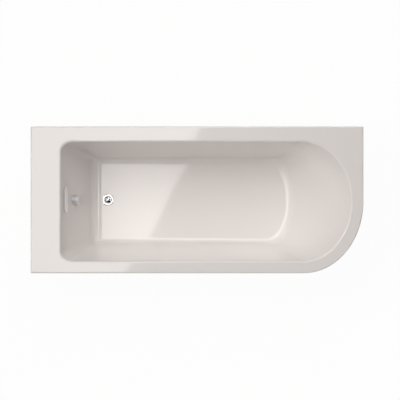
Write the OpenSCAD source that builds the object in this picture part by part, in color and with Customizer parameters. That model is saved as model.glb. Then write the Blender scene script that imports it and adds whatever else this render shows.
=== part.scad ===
// Single-ended acrylic bath with one curved front corner, its front panel, leg frame, pop-up waste and slot overflow.
// Millimetres. +X runs from the tap end to the head end, +Y to the back wall, +Z up.
// The origin lies on the floor, under the middle of the rim.

/* [Bath] */
// Length over the rim
bath_l = 1700; // [1600:10:1800]
// Width over the rim
bath_w = 750; // [700:10:800]
// Height of the rim above the floor
rim_h = 560; // [550:5:600]
// Depth of the basin below the rim, at the waste
basin_depth = 410; // [390:5:420]
// Fall of the basin's floor towards the waste
floor_fall = 5; // [0:1:8]
// Half axis of the curved front corner, along the bath
corner_a = 306; // [280:2:330]
// Half axis of the curved front corner, across the bath
corner_b = 367; // [340:1:380]
// Radius of the three square corners
corner_r = 4; // [2:1:8]

/* [Rim] */
// Flat rim at the tap end
rim_tap = 144; // [130:2:170]
// Flat rim at the head end
rim_head = 54; // [50:1:70]
// Flat rim along the back wall
rim_back = 69; // [64:1:90]
// Flat rim along the front
rim_front = 52; // [50:1:70]
// Depth of the rim's turned-down edge
lip_h = 40; // [34:1:50]
// Radius where the rim rolls into the basin
roll_r = 11; // [10:1:16]
// Radius of the rim's outer edge
edge_r = 6; // [5:1:9]

/* [Basin] */
// Horizontal run of the tap end wall
tap_run = 221; // [205:1:235]
// Horizontal run of the sloping backrest
head_run = 347; // [320:1:370]
// Horizontal run of the back wall
back_run = 126; // [115:1:140]
// Horizontal run of the front wall
front_run = 130; // [115:1:140]
// Corner radius of the opening at the tap end
open_corner_r = 58; // [45:1:75]
// Corner radius of the floor at the tap end
floor_corner_r = 14; // [8:1:24]
// Half axis of the opening's round head end, along the bath
open_end_a = 252; // [230:2:280]
// Half axis of the floor's round head end, along the bath
floor_end_a = 115; // [95:1:135]
// Radius between the side walls and the floor
foot_r_side = 35; // [28:1:45]
// Radius between the tap end wall and the floor
foot_r_tap = 64; // [50:1:75]
// Radius between the backrest and the floor
foot_r_head = 60; // [45:1:75]

/* [Laminate] */
// Thickness of the acrylic
acrylic_t = 4.5; // [4:0.5:5]
// Thickness of the glassfibre behind it
glass_t = 3.5; // [2.5:0.5:4]
// Thickness of the board under the floor
board_t = 18; // [15:1:22]
// Distance from the floor's tap end to the board under it
board_from_tap = 85; // [60:5:120]
// Distance from the floor's head end to the board under it
board_from_head = 49; // [40:5:90]
// Distance from the floor's sides to the board under it
board_from_side = 36.5; // [20:0.5:50]

/* [Rim timbers] */
// Width of the timbers at the back and the tap end
timber_w = 45; // [35:1:48]
// Width of the timbers behind the panel
slim_timber_w = 28; // [22:1:30]
// Thickness of the board under the tap deck
deck_t = 12; // [9:1:18]

/* [Front panel] */
// Thickness of the panel
panel_t = 4; // [3:0.5:5]
// Gap between the panel and the floor
panel_floor_gap = 4; // [2:1:12]
// Width of the returns at the panel's ends
panel_return = 20; // [15:1:30]
// Thickness of a panel clip's tongue
clip_t = 2.2; // [1.6:0.2:3]

/* [Leg frame] */
// Width of a leg bar
bar_w = 40; // [36:1:50]
// Height of a leg bar
bar_h = 30; // [24:1:34]
// Sheet thickness of a leg bar
bar_t = 2; // [1.5:0.5:3]
// How far a leg bar runs past its feet
bar_past_foot = 35; // [28:1:45]
// Gap between a foot pad and the timber behind the panel
foot_clear = 13; // [5:1:30]
// Distance from the board's tap end to the first leg bar
bar_from_tap = 70; // [60:5:110]
// Distance from the board's head end to the second leg bar
bar_from_head = 100; // [90:5:150]
// Radius of the threaded rods
rod_r = 6; // [5:0.5:6]
// Radius of a foot pad
pad_r = 26; // [22:1:28]
// Height of a foot pad
pad_h = 26; // [22:1:30]

/* [Waste] */
// Distance of the waste from the tap end of the rim
waste_from_end = 395; // [390:1:400]
// Outer radius of the waste flange
flange_r = 29.5; // [28:0.5:32]
// Radius of the plug
plug_r = 17; // [16:0.5:18]
// Lift of the plug
plug_lift = 9; // [7:0.5:10]
// Radius of the plug's stem
stem_r = 4; // [3:0.5:4.5]
// Outer radius of the threaded tail
tail_r = 23.9; // [23.4:0.1:24.4]
// Wall of the threaded tail
tail_wall = 4.4; // [3.5:0.1:5]
// Length of the threaded tail
tail_l = 22; // [18:1:30]

/* [Overflow] */
// Depth of the overflow slot's middle below the rim
slot_depth = 58; // [54:1:66]
// Distance from the slot's middle to the knob's middle, down the wall
knob_drop = 115; // [108:1:122]
// Length of the overflow cover
cover_l = 128; // [116:1:140]
// Height of the overflow cover
cover_h = 32; // [28:1:34]
// Gap between the overflow cover and the wall
cover_gap = 7; // [5:0.5:9]
// Thickness of the overflow cover
cover_t = 4; // [3:0.5:5]
// Radius of the control knob
knob_r = 24.5; // [22:0.5:26]
// Length of the control knob
knob_l = 24; // [20:1:28]
// Outer radius of the overflow hose
hose_r = 16; // [14:0.5:17]
// Radius of the control cable
cable_r = 2.5; // [2:0.25:3]

/* [Hidden] */
$fn = 64;

foot_names = ["tap_front", "tap_back", "head_front", "head_back", "centre"];

// Clearances
gap = 0.3;          // between pieces that are laid against each other
slide_gap = 0.08;   // around a shaft that turns or slides
bond_gap = 0.3;     // between the acrylic and the glassfibre
eps = 0.5;          // how far a cut runs past the face it opens

// Rim and laminate
half_l = bath_l / 2;
half_w = bath_w / 2;
laminate_t = acrylic_t + glass_t;
lip_z = rim_h - lip_h;
under_rim_z = rim_h - laminate_t;
corner_x = half_l - corner_a;
corner_y = -half_w + corner_b;

// Opening of the basin, where the rim stops being flat, and the flat floor
open_x0 = -half_l + rim_tap;
open_x1 = half_l - rim_head;
open_y0 = -half_w + rim_front;
open_y1 = half_w - rim_back;
floor_x0 = open_x0 + tap_run;
floor_x1 = open_x1 - head_run;
floor_y0 = open_y0 + front_run;
floor_y1 = open_y1 - back_run;
floor_yc = (floor_y0 + floor_y1) / 2;
floor_z = rim_h - basin_depth;
board_x0 = floor_x0 + board_from_tap;
board_x1 = floor_x1 - board_from_head;
board_l = board_x1 - board_x0;
board_w = floor_y1 - floor_y0 - 2 * board_from_side;
board_z = floor_z - laminate_t;
bar_z = board_z - board_t;
waste_x = -half_l + waste_from_end;

// Steps round and down the basin
end_steps = 32;     // round the head end, a multiple of 8
side_steps = 6;     // along each long side
corner_steps = 8;   // round each tap end corner, an even number
tap_steps = 4;      // along the tap end
foot_steps = 6;     // up the radius at the floor
wall_steps = 3;     // up the straight wall
roll_steps = 4;     // round the roll at the rim
edge_steps = 3;     // round the rim's outer edge

// ---------------------------------------------------------------- the basin's surface

// Points round a basin outline: an elliptical head end, two straight sides and two round corners at the tap end.
function outline(x0, x1, y0, y1, r, a) =
    let (xe = x1 - a, yc = (y0 + y1) / 2, b = (y1 - y0) / 2, xc = x0 + r)
    concat(
        [for (i = [0:end_steps]) let (t = -90 + 180 * i / end_steps) [xe + a * cos(t), yc + b * sin(t)]],
        [for (i = [1:side_steps - 1]) [xe + (xc - xe) * i / side_steps, y1]],
        [for (i = [0:corner_steps]) let (t = 90 + 90 * i / corner_steps) [xc + r * cos(t), y1 - r + r * sin(t)]],
        [for (i = [1:tap_steps - 1]) [x0, y1 - r + (y0 - y1 + 2 * r) * i / tap_steps]],
        [for (i = [0:corner_steps]) let (t = 180 + 90 * i / corner_steps) [xc + r * cos(t), y0 + r + r * sin(t)]],
        [for (i = [1:side_steps - 1]) [xc + (xe - xc) * i / side_steps, y0]]
    );

// The same walk for the direction that each wall faces.
function outward(t, a, b) = let (n = [cos(t) / a, sin(t) / b]) n / norm(n);
function mix(a, b, t) = a + (b - a) * t;
facing = concat(
    [for (i = [0:end_steps]) outward(-90 + 180 * i / end_steps, open_end_a, (open_y1 - open_y0) / 2)],
    [for (i = [1:side_steps - 1]) [0, 1]],
    [for (i = [0:corner_steps]) let (t = 90 + 90 * i / corner_steps) [cos(t), sin(t)]],
    [for (i = [1:tap_steps - 1]) [-1, 0]],
    [for (i = [0:corner_steps]) let (t = 180 + 90 * i / corner_steps) [cos(t), sin(t)]],
    [for (i = [1:side_steps - 1]) [0, -1]]
);
open_line = outline(open_x0, open_x1, open_y0, open_y1, open_corner_r, open_end_a);
floor_line = outline(floor_x0, floor_x1, floor_y0, floor_y1, floor_corner_r, floor_end_a);
stations = len(facing);

// Tilt from upright of the wall that joins a foot radius to the roll: run across, rise up, sum of both radii.
function wall_tilt(run, rise, sum) = acos(sum / norm([run, rise - sum])) - atan2(rise - sum, run);

function floor_at(x) = floor_z + floor_fall * (x - waste_x) / (floor_x1 - waste_x);

// One upright section of the basin as [distance out from the floor line, height], t below the basin's surface.
function section(run, base, foot, t) =
    let (tilt = wall_tilt(run, rim_h - base, foot + roll_r),
         low = [(foot + t) * cos(tilt), base + foot - (foot + t) * sin(tilt)],
         high = [run - (roll_r - t) * cos(tilt), rim_h - roll_r + (roll_r - t) * sin(tilt)])
    concat(
        [for (j = [0:foot_steps]) let (a = (90 - tilt) * j / foot_steps)
            [(foot + t) * sin(a), base + foot - (foot + t) * cos(a)]],
        [for (j = [1:wall_steps - 1]) mix(low, high, j / wall_steps)],
        [for (j = [0:roll_steps]) let (a = mix(tilt, 90, j / roll_steps))
            [run - (roll_r - t) * cos(a), rim_h - roll_r + (roll_r - t) * sin(a)]]
    );

// A wall that faces n, between a long side and an end: its section blends theirs, as [part of the way out, height].
function wall(n, run, base, t) =
    let (side = n[1] > 0 ? back_run : front_run, end = n[0] > 0 ? head_run : tap_run,
         foot = n[0] > 0 ? foot_r_head : foot_r_tap, w = n[0] * n[0],
         s0 = section(side, base, foot_r_side, 0), e0 = section(end, base, foot, 0),
         s = section(side, base, foot_r_side, t), e = section(end, base, foot, t))
    [for (j = [0:len(s) - 1]) [
        mix(s0[j][0] / side, e0[j][0] / end, w) + mix(s[j][0] - s0[j][0], e[j][0] - e0[j][0], w) / run,
        mix(s[j][1], e[j][1], w)]];

// The rings of a basin surface t below the real one, from the floor up to the rim. fall is 1 where the floor slopes.
function basin_rings(t, fall) =
    let (cuts = [for (k = [0:stations - 1])
            let (run = (open_line[k] - floor_line[k]) * facing[k],
                 base = mix(floor_z, floor_at(floor_line[k][0]), fall))
            [for (p = wall(facing[k], run, base, t))
                let (q = mix(floor_line[k], open_line[k], p[0])) [q[0], q[1], p[1]]]])
    [for (j = [0:len(cuts[0]) - 1]) [for (k = [0:stations - 1]) cuts[k][j]]];

// Points round the rim's outer edge, d inside it, one for each station of the basin.
function square_corner(p, q, start, end, r) =   // from start along one edge, round the corner, along the next to end
    let (m = corner_steps / 2, mid = r * (1 - cos(45)), u = [sign(p[0]), sign(p[1])])
    concat(
        [for (i = [0:m - 1]) mix(start, q ? p - [u[0] * r, 0] : p - [0, u[1] * r], i / (m - 1))],
        [p - mid * u],
        [for (i = [0:m - 1]) mix(q ? p - [0, u[1] * r] : p - [u[0] * r, 0], end, i / (m - 1))]
    );
function rim_line(d) =
    let (x1 = half_l - d, y1 = half_w - d, r = max(corner_r - d, 0.4),
         half = end_steps / 2, quarter = end_steps / 4,
         xc = open_x0 + open_corner_r, xe = open_x1 - open_end_a)
    concat(
        [for (i = [0:half]) let (t = -90 + 90 * i / half)
            [corner_x + (corner_a - d) * cos(t), corner_y + (corner_b - d) * sin(t)]],
        [for (i = [1:quarter - 1]) [x1, mix(corner_y, y1 - r, i / (quarter - 1))]],
        [[x1, y1] - r * (1 - cos(45)) * [1, 1]],
        [for (i = [1:quarter]) [mix(x1 - r, xe, (i - 1) / (quarter - 1)), y1]],
        [for (i = [1:side_steps - 1]) [mix(xe, xc, i / side_steps), y1]],
        square_corner([-x1, y1], true, [xc, y1], [-x1, open_y1 - open_corner_r], r),
        [for (i = [1:tap_steps - 1]) [-x1, mix(open_y1 - open_corner_r, open_y0 + open_corner_r, i / tap_steps)]],
        square_corner([-x1, -y1], false, [-x1, open_y0 + open_corner_r], [xc, -y1], r),
        [for (i = [1:side_steps - 1]) [mix(xc, corner_x, i / side_steps), -y1]]
    );
function at_height(line, z) = [for (p = line) [p[0], p[1], z]];
function reversed(list) = [for (i = [len(list) - 1:-1:0]) list[i]];

// A closed skin over rings of equal length, flat at its first and last ring, whose faces start on a curve.
module skin(rings) {
    n = len(rings[0]);
    first = floor(n / 8);
    sides = [for (j = [0:len(rings) - 2], k = [0:n - 1])
        let (a = j * n + k, b = j * n + (k + 1) % n, up = rings[j + 1][k][2] >= rings[j][k][2])
        each (up ? [[a, b, b + n], [a, b + n, a + n]] : [[a, b, a + n], [b, b + n, a + n]])];
    last = (len(rings) - 1) * n;
    polyhedron(points = [for (r = rings) each r],
               faces = concat([[for (k = [n:-1:1]) (k + first) % n]], sides, [[for (k = [1:n]) last + (k + first) % n]]));
}

// ---------------------------------------------------------------- the tap end wall

tap_tilt = wall_tilt(tap_run, rim_h - floor_at(floor_x0), foot_r_tap + roll_r);
wall_low = [floor_x0 - foot_r_tap * cos(tap_tilt), floor_at(floor_x0) + foot_r_tap * (1 - sin(tap_tilt))];
slot_z = rim_h - slot_depth;
slot_x = wall_low[0] - (slot_z - wall_low[1]) * tan(tap_tilt);

// Puts its children on the tap end wall: X down the wall from the slot, Y across it, Z square into the basin.
module on_tap_wall(down = 0) {
    translate([slot_x, 0, slot_z]) rotate([0, 90 - tap_tilt, 0]) translate([down, 0, 0]) children();
}
function tap_wall_point(down, out) =
    [slot_x + down * sin(tap_tilt) + out * cos(tap_tilt), slot_z - down * cos(tap_tilt) + out * sin(tap_tilt)];

slot_l = 104;                   // the slot through the wall
slot_h = 14;
frame_l = slot_l + 12;          // the frame round it, inside the basin
frame_h = slot_h + 10;
frame_t = 2;
frame_wall = 2.5;
post_w = 8;                     // the posts that carry the cover
post_y = (frame_l - post_w) / 2 - eps;
overflow_screw_r = 2;
overflow_screw_y = slot_l / 2 - 8;
slot_open_l = 2 * (overflow_screw_y - overflow_screw_r - frame_wall);
bush_hole_r = 9;                // the hole for the knob's bush
bush_r = 25.5;
bush_t = 3.5;
bush_sleeve_l = 18;
spindle_r = 5;
grip_z = bush_t + gap;          // where the knob starts

module slot_hole(l, h) {        // a slot with round ends, along Y
    translate([0, 0, -laminate_t * 2]) linear_extrude(laminate_t * 4) round_slot(l, h);
}
module round_slot(l, h) {
    square([h, l - h], center = true);
    for (y = [-1, 1]) translate([0, y * (l - h) / 2]) circle(d = h);
}
module tap_wall_holes() {
    on_tap_wall() slot_hole(slot_l, slot_h);
    on_tap_wall(knob_drop) cylinder(r = bush_hole_r, h = laminate_t * 4, center = true);
}

// ---------------------------------------------------------------- bath

seat_depth = 1.5;               // the recess round the waste
seat_r = flange_r + 1.5;
gasket_t = 0.8;
waste_hole_r = 24;

module waste_hole(r) {
    translate([waste_x, 0, board_z - eps]) cylinder(r = r, h = laminate_t + floor_fall + eps * 2);
}

module bath_shell() {
    color("ghostwhite") difference() {
        skin(concat(
            basin_rings(0, 1),
            [for (i = [0:edge_steps]) let (a = 90 * i / edge_steps)
                at_height(rim_line(edge_r * (1 - sin(a))), rim_h - edge_r * (1 - cos(a)))],
            [at_height(rim_line(0), lip_z),
             at_height(rim_line(acrylic_t), lip_z),
             at_height(rim_line(acrylic_t), rim_h - edge_r),
             at_height(rim_line(edge_r), rim_h - acrylic_t)],
            reversed(basin_rings(acrylic_t, 1))));
        waste_hole(waste_hole_r);
        translate([waste_x, 0, floor_z - seat_depth]) cylinder(r = seat_r, h = seat_depth + eps);
        tap_wall_holes();
    }
}

glass_edge = acrylic_t + panel_t + 6;   // how far inside the rim the glassfibre stops

module fibreglass_backing() {
    color("khaki") difference() {
        skin(concat(
            basin_rings(acrylic_t + bond_gap, 1),
            [at_height(rim_line(glass_edge), rim_h - acrylic_t - bond_gap),
             at_height(rim_line(glass_edge), under_rim_z)],
            reversed(basin_rings(laminate_t, 0))));
        waste_hole(waste_hole_r);
        tap_wall_holes();
    }
}

board_corner = 60;              // the board's clipped corners
pilot_r = 2.1;
screw_r = 2;

module base_board() {
    color("tan") translate([board_mid, floor_yc, bar_z]) difference() {
        linear_extrude(board_t) clipped_board();
        for (p = board_screws) translate([p[0] - board_mid, p[1] - floor_yc, -eps])
            cylinder(r = pilot_r, h = screw_in_board + eps * 2);
    }
}
board_mid = (board_x0 + board_x1) / 2;
module clipped_board() {
    x = board_l / 2;
    y = board_w / 2;
    c = board_corner;
    polygon([[-x, -y], [x - c, -y], [x, c - y], [x, y - c], [x - c, y], [-x, y]]);
}

// ---------------------------------------------------------------- timbers under the rim

timber_inset = acrylic_t + 3;                       // from the rim's edge, at the two wall sides
slim_inset = acrylic_t + 2 + panel_t + clip_t + 2 * gap;   // from the rim's edge, behind the panel
timber_h = under_rim_z - lip_z;
timber_end = 70;                // how far the timbers stop short of the rim's ends
corner_end = 20;                // and of the curved corner
deck_end = 120;
deck_gap = 4;

module timber(x0, x1, y0, y1, h = timber_h) {    // what follows is drilled from it
    color("burlywood") difference() {
        translate([x0, y0, under_rim_z - h]) cube([x1 - x0, y1 - y0, h]);
        children();
    }
}
module rim_batten_back() {
    timber(-half_l + timber_end, half_l - timber_end, half_w - timber_inset - timber_w, half_w - timber_inset)
        bracket_pilots();
}
module rim_batten_tap_end() {
    timber(-half_l + timber_inset, -half_l + timber_inset + timber_w, -half_w + timber_end, half_w - timber_end)
        bracket_pilots();
}
module rim_batten_front() {
    timber(-half_l + timber_end, corner_x - corner_end, -half_w + slim_inset, -half_w + slim_inset + slim_timber_w)
        clip_pilots();
}
module rim_batten_head_end() {
    timber(half_l - slim_inset - slim_timber_w, half_l - slim_inset, corner_y + corner_end, half_w - timber_end)
        clip_pilots();
}
module tap_deck_board() {
    inner = -half_l + timber_inset + timber_w + deck_gap;
    timber(inner, open_x0 - 2 * deck_gap, -half_w + deck_end, half_w - deck_end, deck_t);
}
corner_ply_t = 18;
module rim_batten_corner() {    // sawn from plywood to the curve of the rim
    color("burlywood") translate([0, 0, under_rim_z - corner_ply_t]) linear_extrude(corner_ply_t)
        intersection() {
            along_front(slim_inset, slim_inset + slim_timber_w);
            translate([corner_x + 60, -half_w]) square([corner_a - 60, corner_b - 60]);
        }
}

// ---------------------------------------------------------------- front panel

// The line along the front, round the curved corner and up the head end, d inside the rim's edge.
panel_steps = 32;
function front_line(d) = concat(
    [[panel_x0, -half_w + d]],
    [for (i = [0:panel_steps]) let (t = -90 + 90 * i / panel_steps)
        [corner_x + (corner_a - d) * cos(t), corner_y + (corner_b - d) * sin(t)]],
    [[half_l - d, panel_y1]]);
module along_front(d0, d1) {
    polygon(concat(front_line(d0), reversed(front_line(d1))));
}

panel_inset = acrylic_t + 2;
panel_top = under_rim_z - 3;
panel_x0 = -half_l + acrylic_t + 3;
panel_y1 = half_w - acrylic_t - 3;
panel_inner = panel_inset + panel_t;
return_h = lip_z - panel_floor_gap - 8;     // the returns at the panel's two ends stop below the rim

module front_panel() {
    color("ghostwhite") difference() {
        union() {
            translate([0, 0, panel_floor_gap]) linear_extrude(panel_top - panel_floor_gap)
                along_front(panel_inset, panel_inner);
            translate([panel_x0, -half_w + panel_inner - eps, panel_floor_gap])
                cube([panel_t, panel_return + eps, return_h]);
            translate([half_l - panel_inner - panel_return, panel_y1 - panel_t, panel_floor_gap])
                cube([panel_return + eps, panel_t, return_h]);
        }
        for (x = panel_screw_x) panel_screw_at(x) cylinder(r = screw_r + gap, h = panel_t * 4, center = true);
    }
}

clip_w = 30;
clip_base_t = 3;
clip_front_x = [-700, -360, -20, 320];
clip_head_y = 220;

clip_screw_y = clip_t + slim_timber_w / 2;
under_screw_l = 22;             // screws driven up into the timbers
module at_clips() {
    tongue = panel_inner + gap;
    for (x = clip_front_x) translate([x, -half_w + tongue, lip_z]) children();
    translate([half_l - tongue, clip_head_y, lip_z]) rotate([0, 0, 90]) children();
}
module panel_clip() {           // tongue at Y 0, base running to +Y under the timber
    difference() {
        union() {
            translate([-clip_w / 2, 0, -clip_base_t]) cube([clip_w, slim_timber_w, clip_base_t]);
            translate([-clip_w / 2, 0, -eps]) cube([clip_w, clip_t, timber_h - 6 + eps]);
            rotate([90, 0, 90]) linear_extrude(2, center = true)
                polygon([[clip_t - eps, -eps], [clip_t + gap / 2, -eps], [clip_t - eps, timber_h - 8]]);
        }
        translate([0, clip_screw_y, -clip_base_t - eps]) cylinder(r = screw_r + gap, h = clip_base_t + 2 * eps);
    }
}
module panel_clips() {
    color("whitesmoke") at_clips() panel_clip();
}
module clip_screws() {
    color("silver") at_clips() translate([0, clip_screw_y, 0]) under_screw(clip_base_t);
}
module clip_pilots() {
    at_clips() translate([0, clip_screw_y, -eps]) cylinder(r = pilot_r, h = under_screw_l + 1 + eps);
}
module under_screw(t) {         // through a plate of thickness t under the timber
    translate([0, 0, -t - 2]) cylinder(r1 = 3, r2 = 3.8, h = 2);
    translate([0, 0, -t]) cylinder(r = screw_r, h = under_screw_l + t);
}

batten_from_tap = 120;          // from the tap end of the rim to the batten on the floor
batten_from_corner = 40;        // from the start of the curved corner to its other end
floor_batten_w = 34;
floor_batten_h = 38;
panel_screw_x = [-600, -260, 80, 400];
panel_screw_z = 20;
panel_screw_l = 28;
cap_r = 7;
cap_t = 3;

module panel_screw_at(x) {      // Z points out of the panel
    translate([x, -half_w + panel_inset, panel_screw_z]) rotate([90, 0, 0]) children();
}
module panel_floor_batten() {
    color("burlywood") difference() {
        translate([-half_l + batten_from_tap, -half_w + panel_inner, 0])
            cube([corner_x - batten_from_corner + half_l - batten_from_tap, floor_batten_w, floor_batten_h]);
        for (x = panel_screw_x) panel_screw_at(x) translate([0, 0, -panel_screw_l - 1])
            cylinder(r = pilot_r, h = panel_screw_l);
    }
}
module panel_screws() {
    color("silver") for (x = panel_screw_x) panel_screw_at(x) {
        translate([0, 0, -panel_screw_l]) cylinder(r = screw_r, h = panel_screw_l);
        cylinder(r = 3.6, h = 1.6);
    }
}
module panel_screw_caps() {
    color("ghostwhite") for (x = panel_screw_x) panel_screw_at(x) difference() {
        cylinder(r1 = cap_r, r2 = cap_r - 1, h = cap_t);
        translate([0, 0, -eps]) cylinder(r = 3.7, h = 1.7 + eps);
    }
}

// ---------------------------------------------------------------- leg frame

centre_x = board_mid;
bar_tap_x = board_x0 + bar_from_tap;
bar_head_x = board_x1 - bar_from_head;
front_foot_y = -half_w + panel_inner + floor_batten_w + foot_clear + pad_r;
foot_span = 2 * (floor_yc - front_foot_y);
bar_l = foot_span + 2 * bar_past_foot;
foot_spots = [
    [bar_tap_x, floor_yc - foot_span / 2], [bar_tap_x, floor_yc + foot_span / 2],
    [bar_head_x, floor_yc - foot_span / 2], [bar_head_x, floor_yc + foot_span / 2],
    [centre_x, floor_yc]
];
nut_flat = 18;                  // across flats
nut_h = 9;
nut_r = nut_flat / 2 / cos(30);
rod_hole_r = rod_r + 0.5;
hat_w = 50;                     // the centre bracket, a hat section
hat_l = 90;
hat_lip = 22;
bar_screw_y = board_w / 2 - 40;
board_screws = concat(
    [for (x = [bar_tap_x, bar_head_x], y = [-1, 1]) [x, floor_yc + y * bar_screw_y]],
    [for (x = [-1, 1], y = [-1, 1]) [centre_x + x * (hat_w / 2 + hat_lip / 2), floor_yc + y * (hat_l / 2 - 15)]]
);
screw_in_board = board_t - 4;

module leg_bar(x) {             // folded channel, open downwards
    color("gainsboro") translate([x, floor_yc, bar_z - bar_h]) difference() {
        translate([-bar_w / 2, -bar_l / 2, 0]) cube([bar_w, bar_l, bar_h]);
        translate([-bar_w / 2 + bar_t, -bar_l / 2 - eps, -eps]) cube([bar_w - 2 * bar_t, bar_l + 2 * eps, bar_h - bar_t + eps]);
        for (y = [-1, 1]) {
            translate([0, y * foot_span / 2, 0]) cylinder(r = rod_hole_r, h = bar_h + eps);
            translate([0, y * bar_screw_y, 0]) cylinder(r = screw_r + gap, h = bar_h + eps);
        }
    }
}
module centre_leg_bracket() {   // hat section: its lips are screwed to the board, its web carries the rod
    w = hat_w / 2;
    color("gainsboro") translate([centre_x, floor_yc, bar_z - bar_h]) difference() {
        rotate([90, 0, 0]) linear_extrude(hat_l, center = true) polygon([
            [-w - hat_lip, bar_h], [-w - hat_lip, bar_h - bar_t], [-w, bar_h - bar_t], [-w, 0], [w, 0],
            [w, bar_h - bar_t], [w + hat_lip, bar_h - bar_t], [w + hat_lip, bar_h],
            [w - bar_t, bar_h], [w - bar_t, bar_t], [bar_t - w, bar_t], [bar_t - w, bar_h]]);
        cylinder(r = rod_hole_r, h = bar_t * 3, center = true);
        for (p = board_screws) if (abs(p[0] - centre_x) < hat_w) translate([p[0] - centre_x, p[1] - floor_yc, 0])
            cylinder(r = screw_r + gap, h = bar_h + eps);
    }
}
module leg_nut() {
    difference() {
        cylinder(r = nut_r, h = nut_h, $fn = 6);
        translate([0, 0, -eps]) cylinder(r = rod_r + slide_gap, h = nut_h + 2 * eps);
    }
}
module leg_nuts() {             // one nut above and one below each sheet
    color("silver") for (i = [0:4]) {
        sheet_z = i < 4 ? bar_z - bar_t : bar_z - bar_h;
        translate([foot_spots[i][0], foot_spots[i][1], sheet_z + bar_t]) leg_nut();
        translate([foot_spots[i][0], foot_spots[i][1], sheet_z - nut_h]) leg_nut();
    }
}
module leg_screws() {
    color("silver") for (p = board_screws) translate([p[0], p[1], bar_z]) {
        translate([0, 0, -bar_t - 2]) cylinder(r1 = 3, r2 = 3.8, h = 2);
        translate([0, 0, -bar_t]) cylinder(r = screw_r, h = screw_in_board + bar_t - 1);
    }
}

rod_end_z = 8;                  // the rod stands this high in its pad
rod_top = [for (i = [0:4]) i < 4 ? bar_z + nut_h + 34 : bar_z - 14];

module foot_rod(i) {
    color("silver") translate([foot_spots[i][0], foot_spots[i][1], rod_end_z]) {
        cylinder(r = rod_r, h = rod_top[i] - rod_end_z - 1);
        translate([0, 0, rod_top[i] - rod_end_z - 1]) cylinder(r1 = rod_r, r2 = rod_r - 1, h = 1);
    }
}
pad_rim_h = 6;
module foot_pad(i) {
    color("dimgray") translate([foot_spots[i][0], foot_spots[i][1], 0]) rotate_extrude() polygon([
        [0, 0], [pad_r, 0], [pad_r, pad_rim_h], [pad_r - 1.5, pad_rim_h + 1.5], [rod_r + 7, pad_rim_h + 5],
        [rod_r + 5, pad_h - 1], [rod_r + 4, pad_h], [rod_r + slide_gap, pad_h], [rod_r + slide_gap, rod_end_z], [0, rod_end_z]]);
}

// ---------------------------------------------------------------- wall brackets

bracket_w = 50;
bracket_l = 62;
bracket_t = 3;
bracket_drop = 60;
bracket_span = 900;             // between the two brackets on the back wall
tap_bracket_y = 120;
wall_slot_r = 3.5;
wall_slot_l = 24;
bracket_slot_z = lip_z - 35;

module wall_bracket() {         // outer face on Y 0, under the rim's turned-down edge, body towards -Y
    difference() {
        union() {
            translate([-bracket_w / 2, -bracket_l, -bracket_t]) cube([bracket_w, bracket_l, bracket_t]);
            translate([-bracket_w / 2, -bracket_t, -bracket_drop]) cube([bracket_w, bracket_t, bracket_drop]);
        }
        translate([0, eps, bracket_slot_z - lip_z]) rotate([90, 0, 0]) linear_extrude(bracket_t + 2 * eps)
            rotate([0, 0, 90]) round_slot(wall_slot_l, 2 * wall_slot_r);
        for (x = [-1, 1]) translate([x * bracket_screw_x, bracket_screw_y, -bracket_t - eps])
            cylinder(r = screw_r + gap, h = bracket_t + 2 * eps);
    }
}
bracket_screw_x = 14;
bracket_screw_y = -timber_inset - timber_w / 2;
module at_brackets() {
    for (x = [-1, 1]) translate([x * bracket_span / 2, half_w, lip_z]) children();
    translate([-half_l, tap_bracket_y, lip_z]) rotate([0, 0, 90]) children();
}
module wall_brackets() {
    color("gainsboro") at_brackets() wall_bracket();
}
module bracket_screws() {
    color("silver") at_bracket_screws() under_screw(bracket_t);
}
module bracket_pilots() {
    at_bracket_screws() translate([0, 0, -eps]) cylinder(r = pilot_r, h = under_screw_l + 1 + eps);
}
module at_bracket_screws() {
    at_brackets() for (x = [-1, 1]) translate([x * bracket_screw_x, bracket_screw_y, 0]) children();
}

// ---------------------------------------------------------------- waste

flange_z = floor_z - seat_depth + gasket_t;     // underside of the waste flange's rim
crown_h = 2.5;                                  // the flange's rim, over its gasket
well_r = plug_r + 0.6;
seal_t = 1.5;
cap_z = floor_z - 3.5;                          // underside of the plug
ledge_z = cap_z - seal_t;
bore_r = plug_r - 2;
tube_r = well_r + 2;
tube_drop = 24;
tube_end = board_z - tube_drop;
body_gasket_t = 4;
body_top = board_z - body_gasket_t;
body_flange_r = 37;
body_flange_t = 6;
barrel_r = 27;
chamber_r = barrel_r - 4;
stem_drop = 39;
stem_end = board_z - stem_drop;
hub_drop = 20;
hub_z = board_z - hub_drop;
hub_h = 8;

module waste_turned(points) {
    translate([waste_x, 0, 0]) rotate_extrude() polygon(points);
}
module waste_flange() {
    color("lightgray") {
        waste_turned([
            [bore_r, tube_end], [tube_r, tube_end], [tube_r, flange_z], [flange_r, flange_z],
            [flange_r, flange_z + 0.8], [flange_r - 1.5, flange_z + 2], [flange_r - 4, flange_z + crown_h],
            [well_r + 3, flange_z + crown_h - 0.3], [well_r + 1, flange_z + crown_h - 1], [well_r, flange_z + crown_h - 1.8],
            [well_r, ledge_z], [bore_r, ledge_z]]);
        translate([waste_x, 0, hub_z]) difference() {   // the cross that guides the stem
            union() {
                cylinder(r = stem_r + 3, h = hub_h);
                for (a = [0, 90]) rotate([0, 0, a]) translate([-bore_r - 1, -1.5, 0]) cube([2 * bore_r + 2, 3, hub_h]);
            }
            translate([0, 0, -eps]) cylinder(r = stem_r + slide_gap, h = hub_h + 2 * eps);
        }
    }
}
module flange_gasket() {
    color("dimgray") waste_turned([
        [waste_hole_r + 0.5, flange_z - gasket_t], [flange_r - 0.5, flange_z - gasket_t],
        [flange_r - 0.5, flange_z], [waste_hole_r + 0.5, flange_z]]);
}
module body_gasket() {
    color("dimgray") waste_turned([
        [tube_r + 1, body_top], [body_flange_r, body_top], [body_flange_r, board_z], [tube_r + 1, board_z]]);
}
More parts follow.
